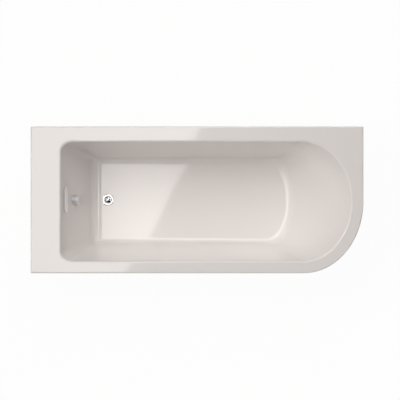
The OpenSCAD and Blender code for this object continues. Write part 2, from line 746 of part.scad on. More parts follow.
module pop_up_plug() {
    color("lightgray") waste_turned([
        [0, stem_end], [stem_r - 1, stem_end], [stem_r, stem_end + 1], [stem_r, cap_z - 6], [stem_r + 4, cap_z],
        [plug_r, cap_z], [plug_r, cap_z + 3], [plug_r - 1, cap_z + 4], [plug_r - 5, cap_z + 5],
        [plug_r - 11, cap_z + 5.6], [0, cap_z + 5.8]]);
}
module plug_seal() {
    color("dimgray") waste_turned([
        [bore_r - 1, ledge_z], [plug_r - 0.4, ledge_z], [plug_r - 0.4, cap_z], [bore_r - 1, cap_z]]);
}

// The bell crank that lifts the plug: its tip stands under the stem, its other arm takes the cable.
tip_arm = 24;
tip_r = 2.5;
pull_arm = 14;
lever_swing = 22;               // degrees, for the whole lift
lever_w = 5;
pin_r = 2;
tip_z = stem_end - gap - tip_r;
pivot_y = tip_arm * cos(lever_swing / 2);
pivot_z = tip_z + tip_arm * sin(lever_swing / 2);
box_half = 9;                   // half width of the lever's box
box_past_pivot = 20;
box_end = pivot_y + box_past_pivot;
box_below_cable = 7;
box_low = pivot_z - pull_arm - box_below_cable;
box_wall = 2.5;
chamber_low = box_low;
inlet_drop = 2;                 // the spigot for the hose, below the middle of the chamber
inlet_z = (tube_end + chamber_low) / 2 - inlet_drop;
hose_wall = 1.3;
hose_rib = 1.4;
hose_sides = 12;
hose_nut_r = hose_r + 4;
spigot_r = (hose_r - hose_rib - hose_wall) * cos(180 / hose_sides) - gap;   // what the hose is pushed over
spigot_wall = 2.5;
inlet_l = 30;                   // the waste body's spigot for the hose
inlet_end = waste_x - barrel_r - inlet_l;
gland_z = pivot_z - pull_arm;

module lever_arm(len, r0, r1) { // a tapered flat arm along +X, standing on Y
    rotate([90, 0, 0]) linear_extrude(lever_w, center = true) hull() {
        circle(r = r0, $fn = 32);
        translate([len, 0]) circle(r = r1, $fn = 32);
    }
}
module lift_lever() {
    color("khaki") translate([waste_x, pivot_y, pivot_z]) rotate([0, 0, -90]) {
        rotate([0, lever_swing / 2, 0]) lever_arm(tip_arm - tip_r - 1, 3.6, 1.8);
        rotate([0, 90 + lever_swing / 2, 0]) lever_arm(pull_arm, 3.6, 2);
        rotate([0, lever_swing / 2, 0]) translate([tip_arm, 0, 0]) rotate([90, 0, 0])
            cylinder(r = tip_r, h = lever_w, center = true);
        rotate([90, 0, 0]) cylinder(r = pin_r, h = 2 * box_half - 0.4, center = true);
        rotate([0, lever_swing / 2, 0]) translate([tip_arm - 4.5, -lever_w / 2, -1.2]) cube([4, lever_w, 2.4]);
    }
}
module waste_body() {
    color("whitesmoke") difference() {
        union() {
            translate([waste_x, 0, body_top - body_flange_t]) cylinder(r = body_flange_r, h = body_flange_t);
            translate([waste_x, 0, chamber_low]) cylinder(r = barrel_r, h = body_top - chamber_low - 1);
            translate([waste_x, 0, chamber_low - tail_l]) cylinder(r = tail_r, h = tail_l + 1);
            translate([inlet_end, 0, inlet_z]) rotate([0, 90, 0]) cylinder(r = spigot_r, h = waste_x - inlet_end - 10);
            translate([waste_x - box_half, 10, box_low]) cube([2 * box_half, box_end - 10, tube_end - box_low]);
            translate([waste_x, box_end - 1, gland_z]) rotate([-90, 0, 0]) cylinder(r = gland_r, h = gland_l + 1);
        }
        translate([waste_x, 0, tube_end - 1]) cylinder(r = tube_r + slide_gap, h = body_top - tube_end + 2);
        translate([waste_x, 0, chamber_low + box_wall]) cylinder(r = chamber_r, h = tube_end - chamber_low - box_wall);
        translate([waste_x, 0, chamber_low - tail_l - eps]) cylinder(r = tail_r - tail_wall, h = tail_l + box_wall + 2 * eps);
        translate([inlet_end - eps, 0, inlet_z]) rotate([0, 90, 0]) cylinder(r = spigot_r - spigot_wall, h = waste_x - inlet_end);
        translate([waste_x - box_half + box_wall, 5, box_low + box_wall])
            cube([2 * (box_half - box_wall), box_end - box_wall - 5, tube_end - box_low - 2 * box_wall]);
        translate([waste_x, pivot_y, pivot_z]) rotate([0, 90, 0])
            cylinder(r = pin_r + slide_gap, h = 2 * box_half + 1, center = true);
        translate([waste_x, box_end - box_wall - eps, gland_z]) rotate([-90, 0, 0]) cylinder(r = cable_r + gap, h = 20);
    }
}

// ---------------------------------------------------------------- overflow and control knob

housing_back = 50;              // how far the housing reaches behind the wall's inner face
housing_top = -26;
housing_past_knob = 36;
housing_end = knob_drop + housing_past_knob;
housing_shoulder = 26;          // below the slot, where the housing starts to narrow
neck_above_knob = 30;           // above the knob, where it is narrow
housing_wide = 72;
housing_slim = 40;
housing_wall = 2.5;
wall_gasket_t = 2;
housing_face = -laminate_t - wall_gasket_t - gap;

module housing_outline(d) {     // X down the wall, Y across it, d inside the outline
    w = housing_wide - d;
    s = housing_slim - d;
    neck = knob_drop - neck_above_knob;
    polygon([[housing_top + d, -w], [housing_shoulder, -w], [neck, -s], [housing_end - d, -s],
             [housing_end - d, s], [neck, s], [housing_shoulder, w], [housing_top + d, w]]);
}
spigot_out = housing_face - hose_nut_r - 1;
spigot_l = 24;
drum_out = -30;
drum_r = 13;
drum_t = 6;
wire_down = knob_drop + drum_r;
gland_wall = 2.5;
gland_l = 8;
gland_r = cable_r + gland_wall;
gland_stand = 2;                // from the moulding to the nut on its gland

module overflow_housing() {
    color("whitesmoke") on_tap_wall() difference() {
        union() {
            translate([0, 0, -housing_back]) linear_extrude(housing_back + housing_face) housing_outline(0);
            translate([housing_end - 1, 0, spigot_out]) rotate([0, 90, 0]) cylinder(r = spigot_r, h = spigot_l + 1);
            translate([wire_down, housing_slim - 1, drum_out]) rotate([-90, 0, 0]) cylinder(r = gland_r, h = gland_l + 1);
        }
        translate([0, 0, -housing_back + housing_wall]) linear_extrude(housing_back) housing_outline(housing_wall);
        translate([housing_end - 10, 0, spigot_out]) rotate([0, 90, 0]) cylinder(r = spigot_r - spigot_wall, h = spigot_l + 20);
        translate([wire_down, housing_slim - 8, drum_out]) rotate([-90, 0, 0]) cylinder(r = cable_r + gap, h = 20);
        translate([knob_drop, 0, -housing_back - eps]) cylinder(r = spindle_r + slide_gap, h = housing_wall + 2 * eps);
        for (y = [-1, 1]) translate([0, y * overflow_screw_y, -housing_back - eps])
            cylinder(r = overflow_screw_r + 0.1, h = housing_wall + 2 * eps);
    }
}
module overflow_gasket() {
    color("dimgray") on_tap_wall() translate([0, 0, housing_face + 0.05]) linear_extrude(wall_gasket_t)
        difference() {
            housing_outline(0);
            housing_outline(housing_wall + 2);
        }
}
module overflow_frame() {       // flange in the basin and collar through the wall
    color("ghostwhite") on_tap_wall() difference() {
        union() {
            translate([0, 0, gap]) linear_extrude(frame_t) round_slot(frame_l, frame_h);
            translate([0, 0, -laminate_t - 4]) linear_extrude(laminate_t + 4 + gap + 1) round_slot(slot_l - 2 * gap, slot_h - 2 * gap);
            for (y = [-1, 1]) translate([0, y * post_y, frame_t]) cylinder(r = post_w / 2, h = cover_gap - frame_t);
        }
        for (y = [-1, 1]) translate([0, y * overflow_screw_y, -laminate_t - 4 - eps])
            cylinder(r = overflow_screw_r + 0.2, h = laminate_t + frame_t + 8);
        translate([0, 0, -laminate_t - 4 - eps]) linear_extrude(laminate_t + frame_t + 8)
            square([slot_h - 2 * gap - 2 * frame_wall, slot_open_l], center = true);
    }
}
module overflow_screws() {
    color("silver") on_tap_wall() for (y = [-1, 1]) translate([0, y * overflow_screw_y, 0]) {
        translate([0, 0, gap + frame_t]) cylinder(r = 3.6, h = 2);
        translate([0, 0, -housing_back - 2]) cylinder(r = overflow_screw_r, h = housing_back + 2 + gap + frame_t);
    }
}
module overflow_cover() {       // plate with softened edges on the frame's posts
    color("lightgray") on_tap_wall() translate([0, 0, cover_gap]) difference() {
        translate([-cover_h / 2, -cover_l / 2, 0]) cube([cover_h, cover_l, cover_t]);
        for (s = [-1, 1]) {
            translate([s * cover_h / 2, 0, cover_t]) rotate([0, 45, 0]) cube([1.4, cover_l + 2, 1.4], center = true);
            translate([0, s * cover_l / 2, cover_t]) rotate([45, 0, 0]) cube([cover_h + 2, 1.4, 1.4], center = true);
        }
    }
}
module knob_bush() {            // rose in the basin and threaded sleeve through the wall
    color("lightgray") on_tap_wall(knob_drop) difference() {
        union() {
            translate([0, 0, 0.05]) rotate_extrude() polygon([
                [0, 0], [bush_r, 0], [bush_r, bush_t - 1.2], [bush_r - 1, bush_t], [0, bush_t]]);
            translate([0, 0, -bush_sleeve_l]) cylinder(r = bush_hole_r - gap, h = bush_sleeve_l + 1);
        }
        translate([0, 0, -bush_sleeve_l - eps]) cylinder(r = spindle_r + slide_gap, h = bush_sleeve_l + bush_t + 2);
    }
}
module bush_nut() {
    color("silver") on_tap_wall(knob_drop) translate([0, 0, -laminate_t - 0.4 - 5]) difference() {
        cylinder(r = 15, h = 5, $fn = 6);
        translate([0, 0, -eps]) cylinder(r = bush_hole_r - gap + 0.05, h = 5 + 2 * eps);
    }
}
knob_bore_l = 14;
module control_knob() {         // turned knob with a finger dimple near its edge
    color("lightgray") on_tap_wall(knob_drop) translate([0, 0, grip_z]) difference() {
        rotate_extrude() polygon([
            [0, 0], [knob_r - 1.5, 0], [knob_r - 0.5, 1], [knob_r, 2], [knob_r, knob_l - 4], [knob_r - 1, knob_l - 1.8],
            [knob_r - 3, knob_l - 0.6], [knob_r - 8, knob_l - 0.1], [knob_r - 16, knob_l], [0, knob_l]]);
        translate([0, 0, -eps]) cylinder(r = spindle_r + slide_gap, h = knob_bore_l + eps);
        translate([-knob_r + 9, 0, knob_l + 5]) sphere(r = 8);
    }
}
module knob_spindle() {         // shaft with the drum that winds the cable
    color("silver") on_tap_wall(knob_drop) {
        translate([0, 0, -housing_back - 2]) cylinder(r = spindle_r, h = housing_back + 2 + grip_z + knob_bore_l - 1);
        translate([0, 0, drum_out - drum_t / 2]) rotate_extrude() polygon([
            [0, 0], [drum_r, 0], [drum_r, 1], [drum_r - 1.5, 2.2], [drum_r - 1.5, drum_t - 2.2], [drum_r, drum_t - 1],
            [drum_r, drum_t], [0, drum_t]]);
    }
}

// ---------------------------------------------------------------- hose and cable

// A smooth line through points, n steps between each two.
function through(p, n) = concat(
    [for (i = [0:len(p) - 2], s = [0:n - 1])
        let (t = s / n, a = p[max(i - 1, 0)], b = p[i], c = p[i + 1], d = p[min(i + 2, len(p) - 1)])
        0.5 * (2 * b + (c - a) * t + (2 * a - 5 * b + 4 * c - d) * t * t + (3 * b - 3 * c + d - a) * t * t * t)],
    [p[len(p) - 1]]);
// The same line cut into n equal steps.
function lengths(p) = [for (i = 0, s = 0; i < len(p); s = s + (i < len(p) - 1 ? norm(p[i + 1] - p[i]) : 0), i = i + 1) s];
function run_of(p) = let (l = lengths(p)) l[len(l) - 1];
function evenly(p, n) =
    let (l = lengths(p), total = run_of(p), by_axis = [for (axis = [0:2]) [for (i = [0:len(p) - 1]) [l[i], p[i][axis]]]])
    [for (k = [0:n]) [for (axis = [0:2]) lookup(total * k / n, by_axis[axis])]];
function heading(p, i) = let (v = p[min(i + 1, len(p) - 1)] - p[max(i - 1, 0)]) v / norm(v);
// A ring of points round the line's point i. up is never along the line.
function ring(p, i, r, sides, up) =
    let (h = heading(p, i), c = cross(up, h), u = c / norm(c), v = cross(h, u))
    [for (k = [0:sides - 1]) p[i] + r * (cos(360 * k / sides) * u + sin(360 * k / sides) * v)];

hose_grip = 16;                 // how far the hose is pushed over a spigot
nut_lap = 4;                    // how far a nut reaches past the hose's end
hose_start = tap_wall_point(housing_end + spigot_l - hose_grip, spigot_out);
hose_off = tap_wall_point(housing_end + spigot_l + 3, spigot_out);
hose_on = tap_wall_point(housing_end + spigot_l + 2 * hose_r, spigot_out);
hose_in = [inlet_end - 2 * hose_r, inlet_z];
// Between the housing and the waste, the hose's and the cable's points lie at parts of the way along and down.
function way(a, b, along, down) = [mix(a[0], b[0], along), mix(a[1], b[1], down)];
hose_parts = [[0.16, 0.22], [0.2, 0.45], [0.26, 0.67], [0.5, 0.87]];
hose_route = [for (q = concat([hose_start, hose_off, hose_on], [for (p = hose_parts) way(hose_on, hose_in, p[0], p[1])],
    [hose_in, [inlet_end - 3, inlet_z], [inlet_end + hose_grip, inlet_z]])) [q[0], 0, q[1]]];
hose_pitch = 5;                 // from rib to rib

module overflow_hose() {
    curve = through(hose_route, 12);
    n = 2 * round(run_of(curve) / hose_pitch);
    line = evenly(curve, n);
    m = 30;
    smooth = evenly(curve, m);
    up = [0, 1, 0];
    rings = concat(
        [for (i = [0:n]) ring(line, i, i % 2 == 0 ? hose_r - hose_rib : hose_r, hose_sides, up)],
        [for (i = [m:-1:0]) ring(smooth, i, hose_r - hose_rib - hose_wall, hose_sides, up)]);
    total = len(rings);
    color("lightgray") polyhedron(
        points = [for (r = rings) each r],
        faces = [for (j = [0:total - 1], k = [0:hose_sides - 1])
            let (a = j * hose_sides + k, b = j * hose_sides + (k + 1) % hose_sides,
                 c = ((j + 1) % total) * hose_sides + k, d = ((j + 1) % total) * hose_sides + (k + 1) % hose_sides)
            each [[a, d, b], [a, c, d]]]);
}
module hose_nut(l) {
    difference() {
        cylinder(r = hose_nut_r, h = l, $fn = 8);
        translate([0, 0, -eps]) cylinder(r = hose_r + gap, h = l + 2 * eps);
    }
}
module hose_nuts() {            // union nuts over the hose's two ends
    color("whitesmoke") {
        on_tap_wall() translate([housing_end + spigot_l - hose_grip - nut_lap, 0, spigot_out]) rotate([0, 90, 0])
            hose_nut(hose_grip);
        translate([inlet_end + nut_lap, 0, inlet_z]) rotate([0, 90, 0]) hose_nut(hose_grip);
    }
}

cable_start = tap_wall_point(wire_down, drum_out);
cable_parts = [[-0.04, 95, 0.08], [0, 115, 0.26], [0.1, 125, 0.47], [0.24, 128, 0.68], [0.42, 130, 0.86],
               [0.65, 126, 0.97], [0.84, 116, 0.995], [0.96, 98, 1]];
cable_route = concat(
    [for (y = [-4, 16, 32]) [cable_start[0], housing_slim + y, cable_start[1]]],
    [for (p = cable_parts) let (q = way(cable_start, [waste_x, gland_z], p[0], p[2])) [q[0], p[1], q[1]]],
    [for (y = [34, 16, -5]) [waste_x, box_end + y, gland_z]]);
cable_sides = 8;
module control_cable() {
    line = through(cable_route, 3);
    color("darkslategray") skin([for (i = [len(line) - 1:-1:0]) reversed(ring(line, i, cable_r, cable_sides, [0.8, 0, 0.6]))]);
}
module cable_gland() {
    difference() {
        cylinder(r = gland_r + gland_wall, h = gland_l * 1.5, $fn = 6);
        translate([0, 0, -eps]) cylinder(r = gland_r + 0.1, h = gland_l);
        cylinder(r = cable_r + gap, h = gland_l * 2);
    }
}
module cable_glands() {
    color("dimgray") {
        on_tap_wall() translate([wire_down, housing_slim + gland_stand, drum_out]) rotate([-90, 0, 0]) cable_gland();
        translate([waste_x, box_end + gland_stand, gland_z]) rotate([-90, 0, 0]) cable_gland();
    }
}

// ---------------------------------------------------------------- the nodes

bath_shell();
fibreglass_backing();
base_board();
rim_batten_back();
rim_batten_front();
rim_batten_tap_end();
rim_batten_head_end();
rim_batten_corner();
tap_deck_board();
front_panel();
panel_clips();
clip_screws();
panel_floor_batten();
panel_screws();
panel_screw_caps();
leg_bar(bar_tap_x);  // leg_bar_tap_end
leg_bar(bar_head_x);  // leg_bar_head_end
centre_leg_bracket();
leg_nuts();
leg_screws();
wall_brackets();
bracket_screws();
waste_flange();
flange_gasket();
waste_body();
body_gasket();
pop_up_plug();
plug_seal();
lift_lever();
overflow_cover();
overflow_frame();
overflow_screws();
overflow_gasket();
overflow_housing();
knob_bush();
bush_nut();
control_knob();
knob_spindle();
overflow_hose();
hose_nuts();
control_cable();
cable_glands();
for (i = [0:4]) foot_rod(i);
for (i = [0:4]) foot_pad(i);
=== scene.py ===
# A single-ended white acrylic bath with one curved front corner, seen from straight above.
import math
import bpy
import bmesh
from mathutils import Matrix, Vector


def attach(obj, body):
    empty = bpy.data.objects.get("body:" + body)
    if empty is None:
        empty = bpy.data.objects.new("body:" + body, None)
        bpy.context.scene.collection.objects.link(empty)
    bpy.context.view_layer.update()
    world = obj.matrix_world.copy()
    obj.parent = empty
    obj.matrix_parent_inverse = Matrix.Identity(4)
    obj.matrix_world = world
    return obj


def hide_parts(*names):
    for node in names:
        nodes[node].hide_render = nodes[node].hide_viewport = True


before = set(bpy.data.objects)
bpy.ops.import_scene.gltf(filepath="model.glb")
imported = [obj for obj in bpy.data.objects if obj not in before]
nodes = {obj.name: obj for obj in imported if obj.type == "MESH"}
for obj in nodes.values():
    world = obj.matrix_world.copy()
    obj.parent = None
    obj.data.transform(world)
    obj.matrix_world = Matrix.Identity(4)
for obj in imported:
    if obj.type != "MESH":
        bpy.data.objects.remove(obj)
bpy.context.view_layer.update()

scene = bpy.context.scene


# -------------------------------- camera
# The photograph looks straight down on the middle of the bath, with no perspective.
# Its frame is 400 pixels square, at 5.11 mm a pixel.
lens = bpy.data.cameras.new("plan_view")
lens.type = "ORTHO"
lens.ortho_scale = 2.044
lens.clip_end = 60


def stand(name, data):
    """Puts a new object in the scene, at the origin."""
    made = bpy.data.objects.new(name, data)
    scene.collection.objects.link(made)
    return made


camera = stand("plan_view", lens)
camera.location = (0.0151, -0.0008, 8)
scene.camera = camera
scene.view_settings.view_transform = "Standard"


# -------------------------------- studio
# A plain pale floor, and one large soft box overhead whose slanting edge shows in the rim and in the basin's floor.
# The rest of the light comes evenly from far off, most of it from the back and the left.
class Value:
    """A number that varies over a surface: arithmetic on it adds Math nodes."""

    def __init__(self, tree, socket):
        self.tree, self.socket = tree, socket

    def maths(self, operation, *terms):
        node = self.tree.nodes.new("ShaderNodeMath")
        node.operation = operation
        for slot, term in zip(node.inputs, terms):
            plug(self.tree, slot, term)
        return Value(self.tree, node.outputs[0])

    def __add__(self, other): return self.maths("ADD", self, other)
    def __radd__(self, other): return self.maths("ADD", other, self)
    def __sub__(self, other): return self.maths("SUBTRACT", self, other)
    def __rsub__(self, other): return self.maths("SUBTRACT", other, self)
    def __mul__(self, other): return self.maths("MULTIPLY", self, other)
    def __rmul__(self, other): return self.maths("MULTIPLY", other, self)
    def __truediv__(self, other): return self.maths("DIVIDE", self, other)
    def __pow__(self, other): return self.maths("POWER", self, other)


def plug(tree, slot, value):
    """Links a Value into a socket, or sets the socket's own number or colour."""
    if isinstance(value, Value):
        tree.links.new(value.socket, slot)
    elif hasattr(slot.default_value, "__len__") and len(slot.default_value) == 4 and len(value) == 3:
        slot.default_value = (*value, 1)
    else:
        slot.default_value = value


class Graph:
    """A tree of nodes, built node by node; a kind of node is named without its tree's prefix."""
    prefix = "ShaderNode"

    def node(self, kind, settings=None, sockets=None, out=0):
        made = self.tree.nodes.new(kind if "Node" in kind else self.prefix + kind)
        for name, value in (settings or {}).items():
            if name == "stops":
                ramp = made.color_ramp.elements
                while len(ramp) < len(value):
                    ramp.new(1)
                for stop, (place, colour) in zip(ramp, value):
                    stop.position, stop.color = place, (*colour, 1)
            else:
                setattr(made, name, value)
        for name, value in (sockets or {}).items():
            plug(self.tree, made.inputs[name], value)
        return Value(self.tree, made.outputs[out]) if made.outputs else made


class Finish(Graph):
    """A material or a world."""

    def __init__(self, owner, end="OutputMaterial"):
        owner.use_nodes = True
        self.owner, self.tree, self.end = owner, owner.node_tree, end
        self.tree.nodes.clear()

    def surface(self, shader):
        self.node(self.end, sockets={"Surface": shader})
        return self.owner


edge_back, edge_front = Vector((0.0195, 0.372, 0)), Vector((-0.361, -0.369, 0))  # the soft box's edge passes over these
box_width, box_length, box_z, mirror_z, box_power = 0.85, 3.4, 3.3, 2.9, 2.95


def lamp(name, matrix, width, length, radiance, diffuse=True, glossy=True):
    """A rectangular area lamp; it can be left out of what matt surfaces receive, or out of what polished ones mirror."""
    light = bpy.data.lights.new(name, "AREA")
    light.shape, light.size, light.size_y = "RECTANGLE", width, length
    light.energy, light.color = radiance * math.pi * width * length, (1, 0.985, 0.97)
    made = stand(name, light)
    made.matrix_world, made.visible_camera = matrix, False
    made.visible_diffuse, made.visible_glossy = diffuse, glossy


def at(x, y, z):
    return Matrix.Translation((x, y, z))


def aimed(place, aim=(0, 0, 0)):
    """A matrix at one point that looks back at another."""
    return at(*place) @ (Vector(place) - Vector(aim)).to_track_quat("Z", "Y").to_matrix().to_4x4()


along = (edge_back - edge_front).normalized()
left = Vector((-along.y, along.x, 0))
middle = (edge_back + edge_front) / 2 + left * box_width / 2 + along * 1.0
turn = Matrix(((-left.x, along.x, 0, 0), (-left.y, along.y, 0, 0), (0, 0, 1, 0), (0, 0, 0, 1)))
# The box's light comes from high up, and its picture from a little lower.
lamp("soft_box", at(middle.x, middle.y, box_z) @ turn, box_width, box_length, box_power, glossy=False)
lamp("soft_box", at(middle.x, middle.y, mirror_z) @ turn, box_width, box_length, box_power, diffuse=False)

# Two narrow lamps show only as thin lines, in the feet of the two end walls. A weak one at the front is for the rim.
for name, x, width, radiance in (("right_strip", 1.6, 0.35, 7.5), ("left_strip", -1.9, 0.12, 16.0)):
    lamp(name, aimed((x, 0.3, 3.3), (x, 0.3, 0)), width, 3.0, radiance, diffuse=False)
lamp("front", aimed((0.1, -0.9, 2.0), (0.1, -0.4, 0.56)), 1.8, 0.6, 0.6, glossy=False)

# Even shares of light from far off: high at the back, high on the left, and low at the front left.
for direction, strength, spread in (
        ((0.02, 0.66, 0.75), 0.78, 40), ((-0.5, 0.15, 0.86), 1.02, 34), ((-0.45, -0.82, 0.36), 0.32, 24)):
    share = bpy.data.lights.new("share", "SUN")
    share.energy, share.angle, share.color = strength, math.radians(spread), (1, 0.977, 0.95)
    sun = stand("share", share)
    sun.matrix_world, sun.visible_glossy = aimed(direction), False

# The room is white all round, with a dim ceiling that only polished surfaces show.
room = Finish(bpy.data.worlds.new("room"), "OutputWorld")
sharp_rays = ("Is Camera Ray", "Is Glossy Ray", "Is Transmission Ray")
seen, glossy, sent_on = (room.node("LightPath", out=ray) for ray in sharp_rays)
mirrored = glossy + sent_on
way = room.node("TexCoord")
across, upward = (room.node("SeparateXYZ", sockets={0: way}, out=axis) for axis in "XZ")
overhead_part = room.node("MapRange", sockets={"Value": upward, "From Min": 0.45, "From Max": 0.7})
ceiling_tone = room.node("MapRange", sockets={"Value": across, "From Min": -0.4, "From Max": 0.1, "To Min": 0.25, "To Max": 0.02})
shown = 1.0 - overhead_part * (1.0 - ceiling_tone)
strength = seen + (1.0 - seen) * (mirrored * shown + (1.0 - mirrored) * 0.03)
scene.world = room.surface(room.node("Background", sockets={"Color": (1, 1, 1), "Strength": strength}))

floor_mesh = bpy.data.meshes.new("floor")
floor_mesh.from_pydata([(-9, -9, 0), (9, -9, 0), (9, 9, 0), (-9, 9, 0)], [], [(0, 1, 2, 3)])
floor = stand("floor", floor_mesh)
paper = Finish(bpy.data.materials.new("studio_floor"))
seen = sum((paper.node("LightPath", out=ray) for ray in sharp_rays), 0.0)
matt = paper.node("BsdfDiffuse", sockets={"Color": (0.82, 0.81, 0.80)})
glow = paper.node("Emission", sockets={"Color": (1, 1, 1), "Strength": 1.0})
upper = paper.node("MixShader", sockets={0: seen * 0.97, 1: matt, 2: glow})
under, clear = paper.node("NewGeometry", out="Backfacing"), paper.node("BsdfTransparent")
floor_mesh.materials.append(paper.surface(paper.node("MixShader", sockets={0: under, 1: upper, 2: clear})))  # clear from below


# -------------------------------- bath shell
# One sheet of white sanitary acrylic, vacuum-formed hot over a mould: rim, turned-down edge and basin in one piece.
# The waste hole, its shallow seat, the overflow slot and the knob's hole are cut afterwards.
half_l, half_w, rim_h = 850.0, 375.0, 560.0
open_x0, open_x1, open_y0, open_y1 = -706.0, 796.0, -323.0, 306.0
floor_x0, floor_x1, floor_y0, floor_y1 = -485.0, 449.0, -193.0, 180.0
open_r, floor_r, open_a, floor_a = 58.0, 14.0, 252.0, 115.0
corner_a, corner_b, corner_r = 306.0, 367.0, 4.0
roll_r, edge_r, lip_z = 11.0, 6.0, 520.0
foot_side, foot_tap, foot_head = 35.0, 64.0, 60.0
basin_z, floor_fall, waste_x = 150.0, 5.0, -455.0
acrylic_t, laminate_t = 4.5, 8.0
waste_hole_r, seat_r, seat_depth, knob_hole_r = 24, 31, 1.5, 9
slot_half, slot_r, slot_drop, knob_drop = 45.0, 7.0, 58, 115.0
lead, flat_lead = 0.6, 1.5  # a row this far from a bend keeps the flat beside it looking flat
END, SIDE, TURN, TAP = 96, 24, 24, 16  # steps round the head end, along a side, round a corner, along the tap end


def mix(a, b, t):
    return a + (b - a) * t


def arc(n, start, sweep):
    return [math.radians(start + sweep * i / n) for i in range(n + 1)]


def bend(x, y, a, b, n, start, sweep):
    """Points along part of an ellipse round a centre."""
    return [(x + a * math.cos(t), y + b * math.sin(t)) for t in arc(n, start, sweep)]


def circle(r, sides):
    return bend(0, 0, r, r, sides, 0, 360)[:-1]


def run(a, b, n, first=1, past=0):
    """Points along a straight line in n steps, without its two ends unless they are asked for."""
    return [(mix(a[0], b[0], i / n), mix(a[1], b[1], i / n)) for i in range(first, n + past)]


def outline(x0, x1, y0, y1, r, a):
    """Points round the basin's opening or its floor, from the front side over the head end to the back and the tap end."""
    xe, yc, b, xc = x1 - a, (y0 + y1) / 2, (y1 - y0) / 2, x0 + r
    return (bend(xe, yc, a, b, END, -90, 180) + run((xe, y1), (xc, y1), SIDE)
            + bend(xc, y1 - r, r, r, TURN, 90, 90) + run((x0, y1 - r), (x0, y0 + r), TAP)
            + bend(xc, y0 + r, r, r, TURN, 180, 90) + run((xc, y0), (xe, y0), SIDE))


def facings():
    """The way that the wall faces at each of those points."""
    b = (open_y1 - open_y0) / 2
    head = [Vector(p).normalized() for p in bend(0, 0, 1 / open_a, 1 / b, END, -90, 180)]
    back_turn, front_turn = ([Vector(p) for p in bend(0, 0, 1, 1, TURN, start, 90)] for start in (90, 180))
    back, tap, front = ([Vector(way)] * (steps - 1) for way, steps in (((0, 1), SIDE), ((-1, 0), TAP), ((0, -1), SIDE)))
    return head + back + back_turn + tap + front_turn + front


def tilt_of(run, rise, radii):
    return math.acos(radii / math.hypot(run, rise - radii)) - math.atan2(rise - radii, run)


def floor_at(x):
    return basin_z + floor_fall * (x - waste_x) / (floor_x1 - waste_x)


def section(run, base, foot, depth, foot_steps, roll_steps):
    """An upright cut through a wall, as distances out from the edge of the floor and heights."""
    tilt = tilt_of(run, rim_h - base, foot + roll_r)
    cut = [((foot + depth) * math.sin(a), base + foot - (foot + depth) * math.cos(a))
           for a in ((math.pi / 2 - tilt) * j / foot_steps for j in range(foot_steps + 1))]
    roll = [(run - (roll_r - depth) * math.cos(a), rim_h - roll_r + (roll_r - depth) * math.sin(a))
            for a in (mix(tilt, math.pi / 2, j / roll_steps) for j in range(roll_steps + 1))]
    start, end = cut[-1], roll[0]
    return cut + [(mix(start[0], end[0], s), mix(start[1], end[1], s)) for s in (0.01, 0.2, 0.4, 0.6, 0.8, 0.99)] + roll


def basin_rings(depth, fall, foot_steps=14, roll_steps=8):
    """Rings of points from the flat floor up to the rim, on a surface that lies depth below the acrylic's face."""
    top = [Vector(p) for p in outline(open_x0, open_x1, open_y0, open_y1, open_r, open_a)]
    low = [Vector(p) for p in outline(floor_x0, floor_x1, floor_y0, floor_y1, floor_r, floor_a)]
    columns = []
    for high, foot_point, n in zip(top, low, facings()):
        # between a long side and an end, a wall blends their sections
        base, run, share = mix(basin_z, floor_at(foot_point.x), fall), (high - foot_point).dot(n), n.x * n.x
        side = open_y1 - floor_y1 if n.y > 0 else floor_y0 - open_y0
        end, foot = (open_x1 - floor_x1, foot_head) if n.x > 0 else (floor_x0 - open_x0, foot_tap)
        column = [(*(foot_point - n * flat_lead), base - depth)]
        for s0, s, e0, e in zip(*(section(width, base, r, d, foot_steps, roll_steps)
                                  for width, r in ((side, foot_side), (end, foot)) for d in (0, depth))):
            part = mix(s0[0] / side, e0[0] / end, share) + mix(s[0] - s0[0], e[0] - e0[0], share) / run
            column.append((*foot_point.lerp(high, part), mix(s[1], e[1], share)))
        columns.append(column + [(*foot_point.lerp(high, 1 + lead / run), rim_h - depth)])
    return [list(ring) for ring in zip(*columns)]


def rim_line(d):
    """Points round the rim's outer edge, d inside it, one for each point round the basin."""
    x1, y1, r = half_l - d, half_w - d, max(corner_r - d, 0.4)
    corner_x, corner_y = half_l - corner_a, corner_b - half_w
    xc, xe = open_x0 + open_r, open_x1 - open_a
    half, quarter, eighth = END // 2, END // 4 - 1, TURN // 2 - 1

    def square(start, bend_from, corner, bend_to, end):
        tip = tuple(c - math.copysign(r * (1 - math.cos(math.pi / 4)), c) for c in corner)
        return run(start, bend_from, eighth, 0, 1) + [tip] + run(bend_to, end, eighth, 0, 1)

    return (bend(corner_x, corner_y, corner_a - d, corner_b - d, half, -90, 90)
            + run((x1, corner_y), (x1, y1 - r), quarter, 1, 1) + [(x1 - r * 0.293, y1 - r * 0.293)]
            + run((x1 - r, y1), (xe, y1), quarter, 0, 1) + run((xe, y1), (xc, y1), SIDE)
            + square((xc, y1), (r - x1, y1), (-x1, y1), (-x1, y1 - r), (-x1, open_y1 - open_r))
            + run((-x1, open_y1 - open_r), (-x1, open_y0 + open_r), TAP)
            + square((-x1, open_y0 + open_r), (-x1, r - y1), (-x1, -y1), (r - x1, -y1), (xc, -y1))
            + run((xc, -y1), (corner_x, -y1), SIDE))


def at_height(line, z):
    return [(x, y, z) for x, y in line]


def smoothed(mesh, below=32):
    """Shades a mesh smooth but for its edges sharper than an angle."""
    mesh.shade_smooth()
    mesh.set_sharp_from_angle(angle=math.radians(below))


